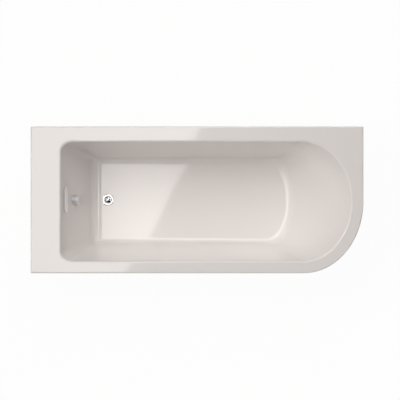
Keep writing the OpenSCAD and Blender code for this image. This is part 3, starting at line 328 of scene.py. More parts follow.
def millimetres(name, points, faces, smooth_below=32):
    """A piece from points in millimetres, its faces turned outwards."""
    shape = bmesh.new()
    made = [shape.verts.new((x / 1000, y / 1000, z / 1000)) for x, y, z in points]
    for face in faces:
        shape.faces.new([made[i] for i in face])
    bmesh.ops.remove_doubles(shape, verts=shape.verts, dist=1e-6)
    bmesh.ops.recalc_face_normals(shape, faces=shape.faces)
    mesh = bpy.data.meshes.new(name)
    shape.to_mesh(mesh)
    shape.free()
    smoothed(mesh, smooth_below)
    return stand(name, mesh)


def skin(name, rings, closed=False, smooth_below=32):
    """A skin over rings of equal length, flat at its first and its last ring, or closed on itself like a tyre."""
    n, rows = len(rings[0]), len(rings)
    faces = [(j * n + k, j * n + (k + 1) % n, (j + 1) % rows * n + (k + 1) % n, (j + 1) % rows * n + k)
             for j in range(rows if closed else rows - 1) for k in range(n)]
    if not closed:
        faces += [tuple(range(n)), tuple(range((rows - 1) * n, rows * n))]
    return millimetres(name, [p for ring in rings for p in ring], faces, smooth_below)


def evaluated(piece):
    """A plain mesh of a piece as its modifiers leave it."""
    bpy.context.view_layer.update()
    return bpy.data.meshes.new_from_object(piece.evaluated_get(bpy.context.evaluated_depsgraph_get()))


def cut_away(piece, *cutters):
    """Cuts closed shapes out of a piece."""
    for cutter in cutters:
        cut = piece.modifiers.new("cut", "BOOLEAN")
        cut.operation, cut.solver, cut.object = "DIFFERENCE", "EXACT", cutter
    done = evaluated(piece)
    piece.modifiers.clear()
    piece.data = done
    smoothed(done)
    for cutter in cutters:
        bpy.data.objects.remove(cutter)


def cutter(ring, low, high, place):
    """A closed shape with one outline between two heights, set by a matrix in millimetres."""
    return skin("cutter", [[place @ Vector((x, y, z)) for x, y in ring] for z in (low, high)])


tap_base = floor_at(floor_x0)
tap_tilt = tilt_of(floor_x0 - open_x0, rim_h - tap_base, foot_tap + roll_r)
slot_z = rim_h - slot_drop
slot_x = (floor_x0 - foot_tap * math.cos(tap_tilt)
          - (slot_z - tap_base - foot_tap * (1 - math.sin(tap_tilt))) * math.tan(tap_tilt))
# On the tap end wall: X runs down the wall from the slot, Y across it, Z square into the basin.
on_tap_wall = at(slot_x, 0, slot_z) @ Matrix.Rotation(math.pi / 2 - tap_tilt, 4, "Y")
on_knob = on_tap_wall @ at(knob_drop, 0, 0)
at_waste = at(waste_x, 0, 0)


def holes(*more):
    """Cutters for the waste, the overflow slot and the knob's bush, which the acrylic and its backing share."""
    slot = bend(0, slot_half, slot_r, slot_r, 16, 0, 180) + bend(0, -slot_half, slot_r, slot_r, 16, 180, 180)
    return (cutter(circle(waste_hole_r, 64), 120, 200, at_waste), *more, cutter(slot, -20, 20, on_tap_wall),
            cutter(circle(knob_hole_r, 64), -30, 30, on_knob))


outside = [(edge_r + lead, rim_h), *((edge_r * (1 - math.sin(a)), rim_h - edge_r * (1 - math.cos(a))) for a in arc(8, 0, 90)),
           (0, rim_h - edge_r - lead), (0, lip_z + 0.8), (0.3, lip_z + 0.1), (0.8, lip_z), (acrylic_t - 0.5, lip_z),
           (acrylic_t, lip_z + 0.5), (acrylic_t, rim_h - edge_r), (edge_r, rim_h - acrylic_t)]
outside = [at_height(rim_line(d), z) for d, z in outside]
shell = skin("bath_shell_acrylic", basin_rings(0, 1) + outside + basin_rings(acrylic_t, 1)[::-1])
cut_away(shell, *holes(cutter(circle(seat_r, 64), basin_z - seat_depth, 200, at_waste)))


class PieceFinish(Finish):
    """A finish for a piece, whose patterns lie on the piece's own coordinates."""

    def __init__(self, name):
        super().__init__(bpy.data.materials.new(name))
        self.place = self.node("TexCoord", out="Object")

    def stretched(self, scale, **more):
        return self.node("Mapping", sockets={"Vector": self.place, "Scale": scale, **more})

    def noise(self, scale, detail=2.0, lie=None, **more):
        return self.node("TexNoise", sockets={"Vector": lie or self.place, "Scale": scale, "Detail": detail, **more})

    def ramp(self, by, *stops):
        return self.node("ValToRGB", {"stops": stops}, {"Fac": by})

    def bump(self, strength, distance, height):
        return self.node("Bump", sockets={"Strength": strength, "Distance": distance, "Height": height})

    def done(self, tone, rough, normal=None, **more):
        sockets = {"Base Color": tone, "Roughness": rough, **{name.replace("_", " "): value for name, value in more.items()}}
        return self.surface(self.node("BsdfPrincipled", sockets={**sockets, "Normal": normal} if normal else sockets))


acrylic = PieceFinish("white_acrylic")
ripple, cloud, wipe = acrylic.noise(3.2, 1.5, Roughness=0.4), acrylic.noise(1.4), acrylic.noise(9.0, 3.0)
tone = acrylic.ramp(cloud, (0.3, (0.845, 0.808, 0.790)), (0.7, (0.856, 0.820, 0.803)))
white_acrylic = acrylic.done(tone, wipe * 0.03 + 0.035, acrylic.bump(0.25, 0.0012, ripple),
                             IOR=1.49, Coat_Weight=0.35, Coat_Roughness=0.03)


def fit(piece, finish, slot, body, *replaced):
    """Gives a made piece its finish, puts it on its body, and hides the solids that it stands for."""
    piece.data.materials.clear()
    piece.data.materials.append(finish)
    if replaced:
        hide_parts(*replaced)
    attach(piece, body)


fit(shell, white_acrylic, "white_acrylic", "bath", "bath_shell")


# -------------------------------- glassfibre backing
# Chopped glass strands in polyester resin, sprayed on the back of the acrylic and rolled down by hand.
# It sets as a rough, faintly yellow layer that stiffens the shell and holds the base board.
bond_gap, glass_edge, foot_cuts, roll_cuts = 0.3, 14.5, 8, 4
rim_under = [at_height(rim_line(glass_edge), rim_h - depth) for depth in (acrylic_t + bond_gap, laminate_t)]
backing = skin("backing_laminate", basin_rings(acrylic_t + bond_gap, 1, foot_cuts, roll_cuts) + rim_under
               + basin_rings(laminate_t, 0, foot_cuts, roll_cuts)[::-1])
cut_away(backing, *holes())

resin = PieceFinish("glassfibre")
# three mats of strands, each lying mostly one way
lay = (((0.2, 0.1, 0.5), (26, 330, 150)), ((-0.3, 0.2, 1.9), (30, 310, 170)), ((0.1, -0.4, 2.9), (340, 28, 140)))
mat_a, mat_b, mat_c = (resin.noise(1.0, 3.0, resin.stretched(stretch, Rotation=turn), Distortion=0.5) for turn, stretch in lay)
mat = resin.node("Math", {"operation": "MAXIMUM"}, {0: mat_a, 1: mat_b})
mat = resin.node("Math", {"operation": "MAXIMUM"}, {0: mat, 1: mat_c})
lumps = resin.noise(38.0)
tone = resin.ramp(mat * 0.8 + lumps * 0.2,
                  (0.42, (0.46, 0.42, 0.33)), (0.56, (0.64, 0.605, 0.51)), (0.72, (0.84, 0.815, 0.75)))
fit(backing, resin.done(tone, 0.62 - mat * 0.3, resin.bump(0.8, 0.0016, mat * 0.5 + lumps * 0.9), Coat_Weight=lumps * 0.3),
    "glassfibre", "bath", "fibreglass_backing")


# -------------------------------- base board
# A chipboard panel, pressed from resin and wood chips, bonded into the glassfibre under the basin's floor.
# It carries the weight of the water to the leg frame, whose screws go into it.
def eased_solid(name, finish, ease):
    """Finishes a solid as it is and takes the sharpness off its edges; ease is in millimetres."""
    piece = nodes[name]
    for held in piece.material_slots:
        held.material = finish
    weld = piece.modifiers.new("weld", "WELD")
    weld.merge_threshold = 1e-5
    bevel = piece.modifiers.new("ease", "BEVEL")
    bevel.width, bevel.segments, bevel.angle_limit = ease / 1000, 2, math.radians(40)
    bevel.limit_method, bevel.harden_normals = "ANGLE", True


chips = PieceFinish("chipboard")
lie = chips.stretched((1, 1.6, 2.6))
fine, coarse = (chips.node("TexVoronoi", sockets={"Vector": lie, "Scale": cells}, out="Color") for cells in (420.0, 170.0))
fine_tone = chips.ramp(fine, (0.2, (0.30, 0.19, 0.10)), (0.5, (0.47, 0.33, 0.19)), (0.85, (0.66, 0.51, 0.33)))
coarse_tone = chips.ramp(coarse, (0.2, (0.36, 0.24, 0.13)), (0.8, (0.60, 0.46, 0.29)))
tone = chips.node("Mix", {"data_type": "RGBA"}, {0: 0.45, 6: fine_tone, 7: coarse_tone}, out=2)
grain = chips.noise(600.0)
chipboard = chips.done(tone, grain * 0.2 + 0.62, chips.bump(0.5, 0.0004, grain))
eased_solid("base_board", chipboard, 0.8)


# -------------------------------- rim timbers
# Planed softwood battens bonded under the rim's four sides, which keep it straight and take the clips' and brackets' screws.
# The curved corner has a piece sawn from plywood, and the wide tap deck has a chipboard stiffener.
def sawn_wood(name, along, pale=Vector((0.72, 0.52, 0.31)), dark=Vector((0.47, 0.27, 0.12))):
    """Softwood whose grain runs along one axis, its growth rings cut slantwise."""
    wood = PieceFinish(name)
    lie = wood.stretched([0.06 if axis == along else 1.0 for axis in "XYZ"], Location=(0.31, 0.17, 0.045))
    rings = wood.node("TexWave", {"wave_type": "RINGS", "rings_direction": along},
                      {"Vector": lie, "Scale": 46.0, "Distortion": 3.2, "Detail": 2.0, "Detail Scale": 3.0})
    fibre, patch = wood.noise(480.0, 3.0, lie), wood.noise(7.0)
    tone = wood.ramp(rings * 0.75 + fibre * 0.3 + patch * 0.2 - 0.15, (0.15, pale), (0.72, mix(pale, dark, 0.45)), (0.95, dark))
    return wood.done(tone, fibre * 0.2 + 0.52, wood.bump(0.35, 0.0004, fibre + rings * 0.5))


pine_x, pine_y = sawn_wood("softwood_along_x", "X"), sawn_wood("softwood_along_y", "Y")
for side, pine in (("back", pine_x), ("front", pine_x), ("tap_end", pine_y), ("head_end", pine_y)):
    eased_solid("rim_batten_" + side, pine, 1.2)
eased_solid("tap_deck_board", chipboard, 0.6)

veneers = PieceFinish("plywood")
layers = veneers.node("TexWave", {"wave_type": "BANDS", "bands_direction": "Z", "wave_profile": "TRI"},
                      {"Vector": veneers.place, "Scale": 79.0, "Distortion": 0.15, "Detail": 1.0})
fibre = veneers.noise(1.0, 3.0, veneers.stretched((30, 420, 420)))
tone = veneers.ramp(layers * 0.55 + fibre * 0.5, (0.2, (0.42, 0.26, 0.13)), (0.5, (0.58, 0.40, 0.22)), (0.85, (0.72, 0.54, 0.33)))
eased_solid("rim_batten_corner", veneers.done(tone, fibre * 0.2 + 0.55, veneers.bump(0.4, 0.0004, fibre + layers)), 0.8)


# -------------------------------- front panel
# One white acrylic-faced sheet, bent warm round the curved corner, from the tap end wall to the back wall.
# Its top edge hides behind the rim's lip, its ends turn in by 20 mm, and its foot stands just off the floor.
panel_t, panel_inset, panel_low, panel_high, panel_return = 4.0, 6.5, 4.0, 549.0, 20.0
panel_x0, panel_y1, return_high = -half_l + acrylic_t + 3, half_w - acrylic_t - 3, 512


def front_line(d, steps=96):
    """The line along the front, round the curved corner and up the head end, d inside the rim's edge."""
    corner_x, corner_y = half_l - corner_a, corner_b - half_w
    return (run((panel_x0, d - half_w), (corner_x, d - half_w), 24, 0)
            + bend(corner_x, corner_y, corner_a - d, corner_b - d, steps, -90, 90)
            + run((half_l - d, corner_y), (half_l - d, panel_y1), 12, 1, 1))


def swept_sheet(name, lines, low, high, ease=0.7):
    """A sheet that stands on edge between two lines, with eased long edges."""
    outer, inner = lines
    loops = []
    for a, b in zip(outer, inner):
        a, b = Vector(a), Vector(b)
        inset = (b - a).normalized() * ease
        face = [(1, low + ease), (1, mix(low, high, 0.5)), (1, high - ease), (0.7, high - ease * 0.3), (0, high)]
        foot = [(0, low), (0.7, low + ease * 0.3)]
        section = [(a + inset * (1 - out), z) for out, z in face]
        section += [(b - inset * (1 - out), z) for out, z in face[::-1] + foot[::-1]]
        loops.append([(p.x, p.y, z) for p, z in section + [(a + inset * (1 - out), z) for out, z in foot]])
    return skin(name, loops)


def joined(name, *parts):
    """Several shapes as one piece."""
    whole = bmesh.new()
    for part in parts:
        whole.from_mesh(part.data)
        bpy.data.objects.remove(part)
    mesh = bpy.data.meshes.new(name)
    whole.to_mesh(mesh)
    whole.free()
    return stand(name, mesh)


panel_inner = panel_inset + panel_t
return_y = [(panel_inner - half_w + i * panel_return / 4) for i in range(5)]
return_x = [(half_l - panel_inner - panel_return + i * panel_return / 4) for i in range(5)]
tap_return = [[(x, y) for y in return_y] for x in (panel_x0, panel_x0 + panel_t)]
head_return = [[(x, y) for x in return_x] for y in (panel_y1, panel_y1 - panel_t)]
panel = joined("front_panel_sheet", *(swept_sheet("sheet", lines, panel_low, high) for lines, high in (
    ((front_line(panel_inset), front_line(panel_inner)), panel_high), (tap_return, return_high), (head_return, return_high))))
fit(panel, white_acrylic, "white_acrylic", "bath", "front_panel")


# -------------------------------- panel clips and floor batten
# Moulded nylon spring clips, one screw each, hold the panel's top edge up behind the rim's lip.
# A planed batten fixed to the floor takes the four screws through the panel's foot.
def moulded(name, light, dark, gloss, grain=260.0, bump=0.00012):
    """Injection-moulded plastic: faint flow marks, a fine sparked skin."""
    plastic = PieceFinish(name)
    flow, spark = plastic.noise(16.0, 3.0, Distortion=0.8), plastic.noise(grain * 8)
    return plastic.done(plastic.ramp(flow, (0.3, dark), (0.7, light)), flow * 0.12 + spark * 0.06 + gloss,
                        plastic.bump(0.4, bump, spark))


white_plastic = moulded("white_plastic", (0.86, 0.85, 0.83), (0.82, 0.81, 0.78), 0.26)
eased_solid("panel_clips", white_plastic, 0.3)
eased_solid("panel_floor_batten", pine_x, 1.2)


# -------------------------------- screws and caps
# Zinc-plated pan-head screws with a cross recess, driven up into the timbers and the base board and in through the panel's foot.
# Each of the panel's four screws has a white push-on cap.
class Tree(Graph):
    """A Geometry Nodes tree with named inputs."""
    prefix = "GeometryNode"

    def __init__(self, name, **inputs):
        self.tree = bpy.data.node_groups.new(name, "GeometryNodeTree")
        for label, side, kind in [("Geometry", "INPUT", "Geometry"), *((label, "INPUT", kind) for label, kind in inputs.items()),
                                  ("Material", "INPUT", "Material"), ("Geometry", "OUTPUT", "Geometry")]:
            self.tree.interface.new_socket(label, in_out=side, socket_type="NodeSocket" + kind)
        self.start = self.tree.nodes.new("NodeGroupInput")

    def given(self, *labels):
        found = [Value(self.tree, self.start.outputs[label]) for label in labels]
        return found if len(found) > 1 else found[0]

    def join(self, *parts):
        whole = self.tree.nodes.new("GeometryNodeJoinGeometry")
        for part in parts:
            self.tree.links.new(part.socket, whole.inputs["Geometry"])
        return Value(self.tree, whole.outputs[0])

    def raised(self, geometry, height):
        shift = self.node("ShaderNodeCombineXYZ", sockets={"Z": height})
        return self.node("Transform", sockets={"Geometry": geometry, "Translation": shift})

    def ends_in(self, geometry):
        whole = self.node("RealizeInstances", sockets={"Geometry": geometry})
        painted = self.node("SetMaterial", sockets={"Geometry": whole, "Material": self.given("Material")})
        self.node("NodeGroupOutput", sockets={"Geometry": painted})

    def grow(self, name, source, smooth_below=32, **inputs):
        """Runs the tree on an object and returns its result as a plain mesh piece."""
        grown = source.modifiers.new("grown", "NODES")
        grown.node_group = self.tree
        for item in self.tree.interface.items_tree:
            if item.in_out == "INPUT" and item.name in inputs:
                grown[item.identifier] = inputs[item.name]
        mesh = evaluated(source)
        bpy.data.objects.remove(source)
        mesh.name = name
        smoothed(mesh, smooth_below)
        return stand(name, mesh)


scatter = Tree("scatter", Pattern="Object")  # one copy of a pattern on each point, turned as the point says
pattern = scatter.node("ObjectInfo", {"transform_space": "ORIGINAL"}, {"Object": scatter.given("Pattern")}, out="Geometry")
turn = scatter.node("InputNamedAttribute", {"data_type": "FLOAT_VECTOR"}, {"Name": "turn"}, out="Attribute")
turn = scatter.node("FunctionNodeEulerToRotation", sockets={"Euler": turn})
scatter.ends_in(scatter.node("InstanceOnPoints", sockets={"Points": scatter.given("Geometry"), "Instance": pattern, "Rotation": turn}))


def spots(places):
    """Points in metres, each with a turn, from matrices in millimetres."""
    mesh = bpy.data.meshes.new("spots")
    mesh.from_pydata([place.to_translation() / 1000 for place in places], [], [])
    turns = mesh.attributes.new("turn", "FLOAT_VECTOR", "POINT")
    for spot, place in zip(turns.data, places):
        spot.vector = place.to_euler()
    return stand("spots", mesh)


def scattered(name, single, places, finish, slot, node, smooth_below=32):
    """Sets one shape at many places as a single piece, and drops the shape."""
    fit(scatter.grow(name, spots(places), smooth_below, Pattern=single, Material=finish), finish, slot, "bath", node)
    bpy.data.objects.remove(single)


def eased_profile(profile, radius, steps):
    """A turned profile with each corner off the axis rounded."""
    soft = []
    for i, (r, z) in enumerate(profile):
        here, before, after = Vector((r, z)), Vector(profile[i - 1]), Vector(profile[(i + 1) % len(profile)])
        if r < 0.01:
            soft.append((r, z))
            continue
        back, on = before - here, after - here
        reach = min(radius, back.length * 0.45, on.length * 0.45)
        start, end = here + back.normalized() * reach, here + on.normalized() * reach
        soft += [start * (1 - t) ** 2 + here * 2 * t * (1 - t) + end * t * t for t in (s / steps for s in range(steps + 1))]
    return soft


def turned(name, profile, place=Matrix(), sides=96, ease=0, steps=3):
    """A shape turned from a profile of (radius, height) that closes on itself or runs from axis to axis; ease rounds its corners."""
    profile = eased_profile(profile, ease, steps) if ease else profile
    points, rows = [], []
    for r, z in profile:
        ring = [(0.0, 0.0)] if r < 1e-6 else circle(r, sides)
        rows.append([len(points) + i for i in range(len(ring))])
        points += [place @ Vector((x, y, z)) for x, y in ring]
    on_axis = profile[0][0] < 1e-6
    faces = []
    for low, high in zip(rows, rows[1:] + ([] if on_axis else rows[:1])):
        for i in range(sides):
            j = (i + 1) % sides
            ring = [low[i % len(low)], low[j % len(low)], high[j % len(high)], high[i % len(high)]]
            face = [v for k, v in enumerate(ring) if v != ring[k - 1]]
            if len(face) > 2:
                faces.append(face)
    return millimetres(name, points, faces)


plate = PieceFinish("zinc_plate")  # cloudy patches and fine drawing marks
cloud, marks = plate.noise(90.0, 3.0), plate.noise(1260.0)
zinc = plate.done(plate.ramp(cloud, (0.3, (0.50, 0.51, 0.52)), (0.7, (0.66, 0.68, 0.70))),
                  cloud * 0.14 + marks * 0.08 + 0.2, plate.bump(0.3, 0.00005, marks), Metallic=1.0)


def cross_cutter(reach, width, low, high):
    """Two crossed bars that taper downwards."""
    ends = ((low, reach * 0.45, width * 0.35), (high, reach, width / 2))
    return [skin("bar", [[(x * c - y * s, x * s + y * c, z) for x, y in ((-r, -w), (r, -w), (r, w), (-r, w))]
                         for z, r, w in ends]) for c, s in ((1, 0), (0, 1))]


def cross_head_screw(name, shank_r, head_r, head_h, length):
    """A screw whose head's top is at -Z and whose point is at +Z; Z 0 is the underside of its head."""
    dome = [(head_r * out, -head_h * up) for out, up in ((0, 1), (0.45, 0.97), (0.75, 0.78), (0.95, 0.42), (1, 0.12))]
    head = turned(name, dome + [(head_r - 0.2, 0), (shank_r, 0), (shank_r, length - 4), (0, length)], sides=28)
    cut_away(head, *cross_cutter(head_r * 0.62, 0.9, -head_h * 0.35, -head_h - 0.5))
    return head


screw_z = lip_z - 3
clip_reach = panel_inner + 0.3 + 16.2  # from the rim's edge to a clip's screw
clip_spots = [at(x, clip_reach - half_w, screw_z) for x in (-700, -360, -20, 320)] + [at(half_l - clip_reach, 220, screw_z)]
batten_reach = acrylic_t + 3 + 45 / 2  # from the rim's edge to the middle of a batten 45 mm wide
back_bracket_x, end_bracket_y, holes_at = 450, 120, (-14, 14)
bracket_spots = [at(side * back_bracket_x + x, half_w - batten_reach, screw_z) for side in (-1, 1) for x in holes_at]
bracket_spots += [at(batten_reach - half_l, end_bracket_y + y, screw_z) for y in holes_at]
board_z, board_t = basin_z - laminate_t, 18.0
bar_z = board_z - board_t
floor_yc, board_w = (floor_y0 + floor_y1) / 2, 300.0
board_x0, board_x1 = floor_x0 + 85, floor_x1 - 49
centre_x, bar_tap_x, bar_head_x = (board_x0 + board_x1) / 2, board_x0 + 70, board_x1 - 100
sheet_t, leg_screw_in, plate_x, plate_y = 2, 40, 36, 30  # the folded steel, and where the screws go through it
leg_spots = [at(x, floor_yc + side * (board_w / 2 - leg_screw_in), bar_z - sheet_t) for x in (bar_tap_x, bar_head_x) for side in (-1, 1)]
leg_spots += [at(centre_x + x * plate_x, floor_yc + y * plate_y, bar_z - sheet_t) for x in (-1, 1) for y in (-1, 1)]
panel_spots = [at(x, panel_inset - half_w, 20) @ Matrix.Rotation(-math.pi / 2, 4, "X") for x in (-600, -260, 80, 400)]
for name, places, head_r, head_h, length, node in (  # the head's radius and height, and the length under it
        ("clip_screw_set", clip_spots, 3.8, 2.0, 25, "clip_screws"),
        ("bracket_screw_set", bracket_spots, 3.8, 2.0, 25, "bracket_screws"),
        ("leg_screw_set", leg_spots, 3.8, 2.0, 15, "leg_screws"), ("panel_screw_set", panel_spots, 3.6, 1.6, 28, "panel_screws")):
    scattered(name, cross_head_screw("screw", 2.0, head_r, head_h, length), places, zinc, "zinc_plated_steel", node)

push_on_cap = turned("cap", [(0, -3.0), (5.2, -2.8), (6.2, -2.2), (7, 0), (3.7, 0), (3.7, -1.7), (0, -1.7)], sides=48, ease=0.3)
scattered("panel_screw_cap_set", push_on_cap, panel_spots, white_plastic, "white_plastic", "panel_screw_caps")


# -------------------------------- leg frame
# Two folded, hot-dip galvanised channels and a hat-section bracket are screwed to the base board.
# Zinc-plated studs run through them between two nuts each and stand in black plastic pads, so each foot levels on its own.
spangle = PieceFinish("galvanised")
crystals = spangle.node("TexVoronoi", sockets={"Vector": spangle.place, "Scale": 105.0}, out="Color")
frost, shade = spangle.noise(420.0, 3.0), spangle.node("RGBToBW", sockets={"Color": crystals})
tone = spangle.ramp(crystals, (0.15, (0.40, 0.42, 0.44)), (0.55, (0.52, 0.54, 0.56)), (0.9, (0.66, 0.68, 0.70)))
galvanised = spangle.done(tone, shade * 0.2 + frost * 0.1 + 0.26, spangle.bump(0.3, 0.00008, frost + shade * 0.5), Metallic=1.0)
for name in ("leg_bar_tap_end", "leg_bar_head_end", "centre_leg_bracket"):
    eased_solid(name, galvanised, 0.6)

pad_r, rod_r, rod_low, thread_pitch, nut_h, bracket_deep = 26.0, 6.0, 8.0, 2.0, 9.0, 30
foot_clear, floor_batten_w = 13.0, 34.0
front_foot_y = panel_inner - half_w + floor_batten_w + foot_clear + pad_r
back_foot_y = 2 * floor_yc - front_foot_y
feet = {end + side: (x, y) for end, x in (("tap", bar_tap_x), ("head", bar_head_x))
        for side, y in (("_front", front_foot_y), ("_back", back_foot_y))}
feet["centre"] = (centre_x, floor_yc)

stud = Tree("stud", Radius="Float", Pitch="Float", Length="Float")  # a rolled thread round a core with flat ends
length, pitch, radius = stud.given("Length", "Pitch", "Radius")
turn_r, rise = radius - pitch * 0.3, length - pitch
helix = stud.node("CurveSpiral", sockets={
    "Resolution": 18, "Rotations": rise / pitch, "Start Radius": turn_r, "End Radius": turn_r, "Height": rise})
ridge = stud.node("CurvePrimitiveCircle", sockets={"Resolution": 5, "Radius": pitch * 0.3})
thread = stud.raised(stud.node("CurveToMesh", sockets={"Curve": helix, "Profile Curve": ridge, "Fill Caps": True}), pitch * 0.5)
core = stud.node("MeshCylinder", sockets={"Vertices": 32, "Radius": radius - pitch * 0.42, "Depth": length}, out="Mesh")
whole = stud.join(stud.raised(core, length * 0.5), thread)
stud.ends_in(stud.node("InstanceOnPoints", sockets={"Points": stud.given("Geometry"), "Instance": whole}))

pad_rubber = moulded("black_plastic", (0.030, 0.030, 0.032), (0.020, 0.020, 0.022), 0.36)
loose = 0.08  # the gap round whatever turns or slides
pad_profile = [(0, 0), (pad_r - 1, 0), (pad_r, 1), (pad_r, 6), (pad_r - 1.5, 7.5), (rod_r + 7, 11), (rod_r + 5, 25),
               (rod_r + 4, 26), (rod_r + loose, 26), (rod_r + loose, rod_low), (0, rod_low)]
rib_line, rib_half = ((rod_r + 3, 4), (pad_r - 2.5, 4), (pad_r - 2.5, 8), (rod_r + 5.2, 20)), 1.1
nut_spots = []
for name, (x, y) in feet.items():
    # the centre's stud ends inside its bracket, and its nuts hold the bracket's lower sheet
    rod_top, sheet_z = (bar_z - 14, bar_z - bracket_deep) if name == "centre" else (bar_z + nut_h + 34, bar_z - sheet_t)
    nut_spots += [at(x, y, sheet_z + sheet_t), at(x, y, sheet_z - nut_h)]
    rod = stud.grow("stud_" + name, spots([at(x, y, rod_low)]), 40,
                    Radius=rod_r / 1000, Pitch=thread_pitch / 1000, Length=(rod_top - rod_low) / 1000, Material=zinc)
    fit(rod, zinc, "zinc_plated_steel", "foot_" + name, "foot_rod_" + name)
    pad = turned("pad_" + name, pad_profile, at(x, y, 0), 64, 0.6)
    ribs = []
    for i in range(10):
        out = at(x, y, 0) @ Matrix.Rotation(math.tau * i / 10, 4, "Z")
        ribs.append(skin("rib", [[out @ Vector((r, w, z)) for r, z in rib_line] for w in (-rib_half, rib_half)]))
    fit(joined("pad_" + name, pad, *ribs), pad_rubber, "black_plastic", "foot_" + name, "foot_pad_" + name)


def faceted_nut(name, flat, height, bore, corners=6, place=Matrix(), sides=60):
    """A nut with flat sides, both faces chamfered and its bore opened out; flat is its width across them."""
    step, apothem, bevel, opened = math.tau / corners, flat / 2, flat * 0.035, 0.6
    widest = apothem / math.cos(step / 2)
    rings = []
    for z, cap in ((0, apothem * 0.99), (bevel, widest), (height - bevel, widest), (height, apothem * 0.99)):
        reach = [(min(apothem / math.cos(t % step - step / 2), cap), t) for t in arc(sides, 0, 360)[:-1]]
        rings.append([(r * math.cos(t), r * math.sin(t), z) for r, t in reach])
    rings += [at_height(circle(r, sides), z)
              for z, r in ((height, bore + opened), (height - opened, bore), (opened, bore), (0, bore + opened))]
    return skin(name, [[place @ Vector(p) for p in ring] for ring in rings], True, 24)


scattered("leg_nut_set", faceted_nut("nut", 18, nut_h, rod_r + 0.1), nut_spots, zinc, "zinc_plated_steel", "leg_nuts", 24)


# -------------------------------- wall brackets
# Three folded, galvanised angles under the rim's timbers, two at the back wall and one at the tap end.
# Each has a slot for the wall's screw and two holes for the screws that hold it to its batten.
eased_solid("wall_brackets", galvanised, 0.5)


# -------------------------------- waste
# A turned, chromed brass flange in the floor's shallow recess, drawn down by a moulded body under the base board, with two gaskets.
# A cross in the flange guides the plug's stem. The body has a threaded tail, a spigot for the overflow hose and the lever's box.
def chromed(name, gloss=0.055, scuff=0.10, bright=1.0, lacquer=0.0):
    """Bright chrome plate over polished brass, with faint wipe marks and water spots."""
    plate = PieceFinish(name)
    wipes = plate.noise(5.0, 3.0, plate.stretched((30, 220, 220)))
    drops = plate.node("TexVoronoi", sockets={"Vector": plate.place, "Scale": 130.0})
    dried = plate.node("MapRange", sockets={"Value": drops, "From Min": 0.10, "From Max": 0.22, "To Min": 1.0, "To Max": 0.0})
    dim, full = ([c * bright for c in tone] for tone in ((0.78, 0.785, 0.80), (0.86, 0.865, 0.875)))
    return plate.done(plate.ramp(wipes, (0.3, dim), (0.7, full)), wipes * scuff + dried * 0.03 + gloss - scuff * 0.4,
                      Metallic=1 - 0.35 * lacquer, Coat_Weight=lacquer)


chrome = chromed("chrome", bright=0.68)
flange_z, flange_r, crown_h, gasket_t = basin_z - 0.7, 29.5, 2.5, 0.8
plug_r, well_r, stem_r = 17.0, 17.6, 4.0
bore_r, tube_r, tube_end, ledge_z, cap_z = 15.0, 19.6, board_z - 24, basin_z - 5.0, basin_z - 3.5
hub_z, hub_h, stem_end = board_z - 20, 8.0, board_z - 39
flange = turned("flange", [
    (bore_r, tube_end), (tube_r, tube_end), (tube_r, flange_z), (flange_r, flange_z), (flange_r, flange_z + 0.8),
    (flange_r - 1.3, flange_z + 2), (flange_r - 3.2, flange_z + crown_h), (well_r + 2.2, flange_z + crown_h),
    (well_r + 0.8, flange_z + crown_h - 0.7), (well_r, flange_z + crown_h - 1.8), (well_r, ledge_z), (bore_r, ledge_z)],
    at_waste, 128, 0.6)


def guide_arm(turn):
    """One bar of the cross, with rounded upper edges."""
    w = 1.5
    right = [(w, 0), (w, hub_h - 1), (w - 0.3, hub_h - 0.3), (w - 1, hub_h)]
    section = [(-w, 0)] + right + [(-y, z) for y, z in right[:0:-1]]
    place = at_waste @ at(0, 0, hub_z) @ Matrix.Rotation(turn, 4, "Z")
    return [skin("arm", [[place @ Vector((side * x, y, z)) for y, z in section] for x in (stem_r + 1.5, bore_r + 1)])
            for side in (1, -1)]


def ring(name, inner, outer, low, high, ease, sides=128):
    """A flat ring round the waste's axis, with its edges rounded."""
    return turned(name, [(inner, low), (outer, low), (outer, high), (inner, high)], at_waste, sides, ease)


hub = ring("hub", stem_r + loose, stem_r + 3, hub_z, hub_z + hub_h, 0.7, 48)
fit(joined("waste_flange_turned", flange, hub, *guide_arm(0), *guide_arm(math.pi / 2)), chrome, "chrome", "bath", "waste_flange")

rubber = moulded("black_rubber", (0.024, 0.024, 0.025), (0.016, 0.016, 0.017), 0.48, 160.0, 0.0002)
gasket_r, body_flange_r, body_top = 24.5, 37.0, board_z - 4
for name, *shape, node in (("flange_gasket_ring", gasket_r, flange_r - 0.5, flange_z - gasket_t, flange_z, 0.25, "flange_gasket"),
                           ("body_gasket_ring", tube_r + 1, body_flange_r, body_top, board_z, 0.8, "body_gasket")):
    fit(ring(name, *shape), rubber, "black_rubber", "bath", node)
eased_solid("waste_body", white_plastic, 0.4)


# -------------------------------- pop-up plug
# A low-domed chromed cap on a stem that drops through the cross, with a rubber ring under it.
# The moulded bell crank below turns on a pin in the body's box: the cable pulls one arm, and the other lifts the stem.
dome_r, crown, fall = 16.4, 5.8, 3.4
cap = turned("plug_cap", [
    (0, stem_end), (stem_r - 1, stem_end), (stem_r, stem_end + 1), (stem_r, cap_z - 6), (stem_r + 4, cap_z), (plug_r, cap_z),
    (plug_r, cap_z + 1.6), *((r, cap_z + crown - fall * (r / dome_r) ** 2) for r in (dome_r, 14.5, 12, 9, 6, 3, 0))], at_waste, 128, 0.4)
fit(cap, chrome, "chrome", "plug", "pop_up_plug")
fit(ring("plug_seal_ring", bore_r - 1, plug_r - 0.4, ledge_z, cap_z, 0.5, 96), rubber, "black_rubber", "plug", "plug_seal")
grey_plastic = moulded("grey_plastic", (0.23, 0.235, 0.245), (0.17, 0.175, 0.18), 0.40)
eased_solid("lift_lever", grey_plastic, 0.3)


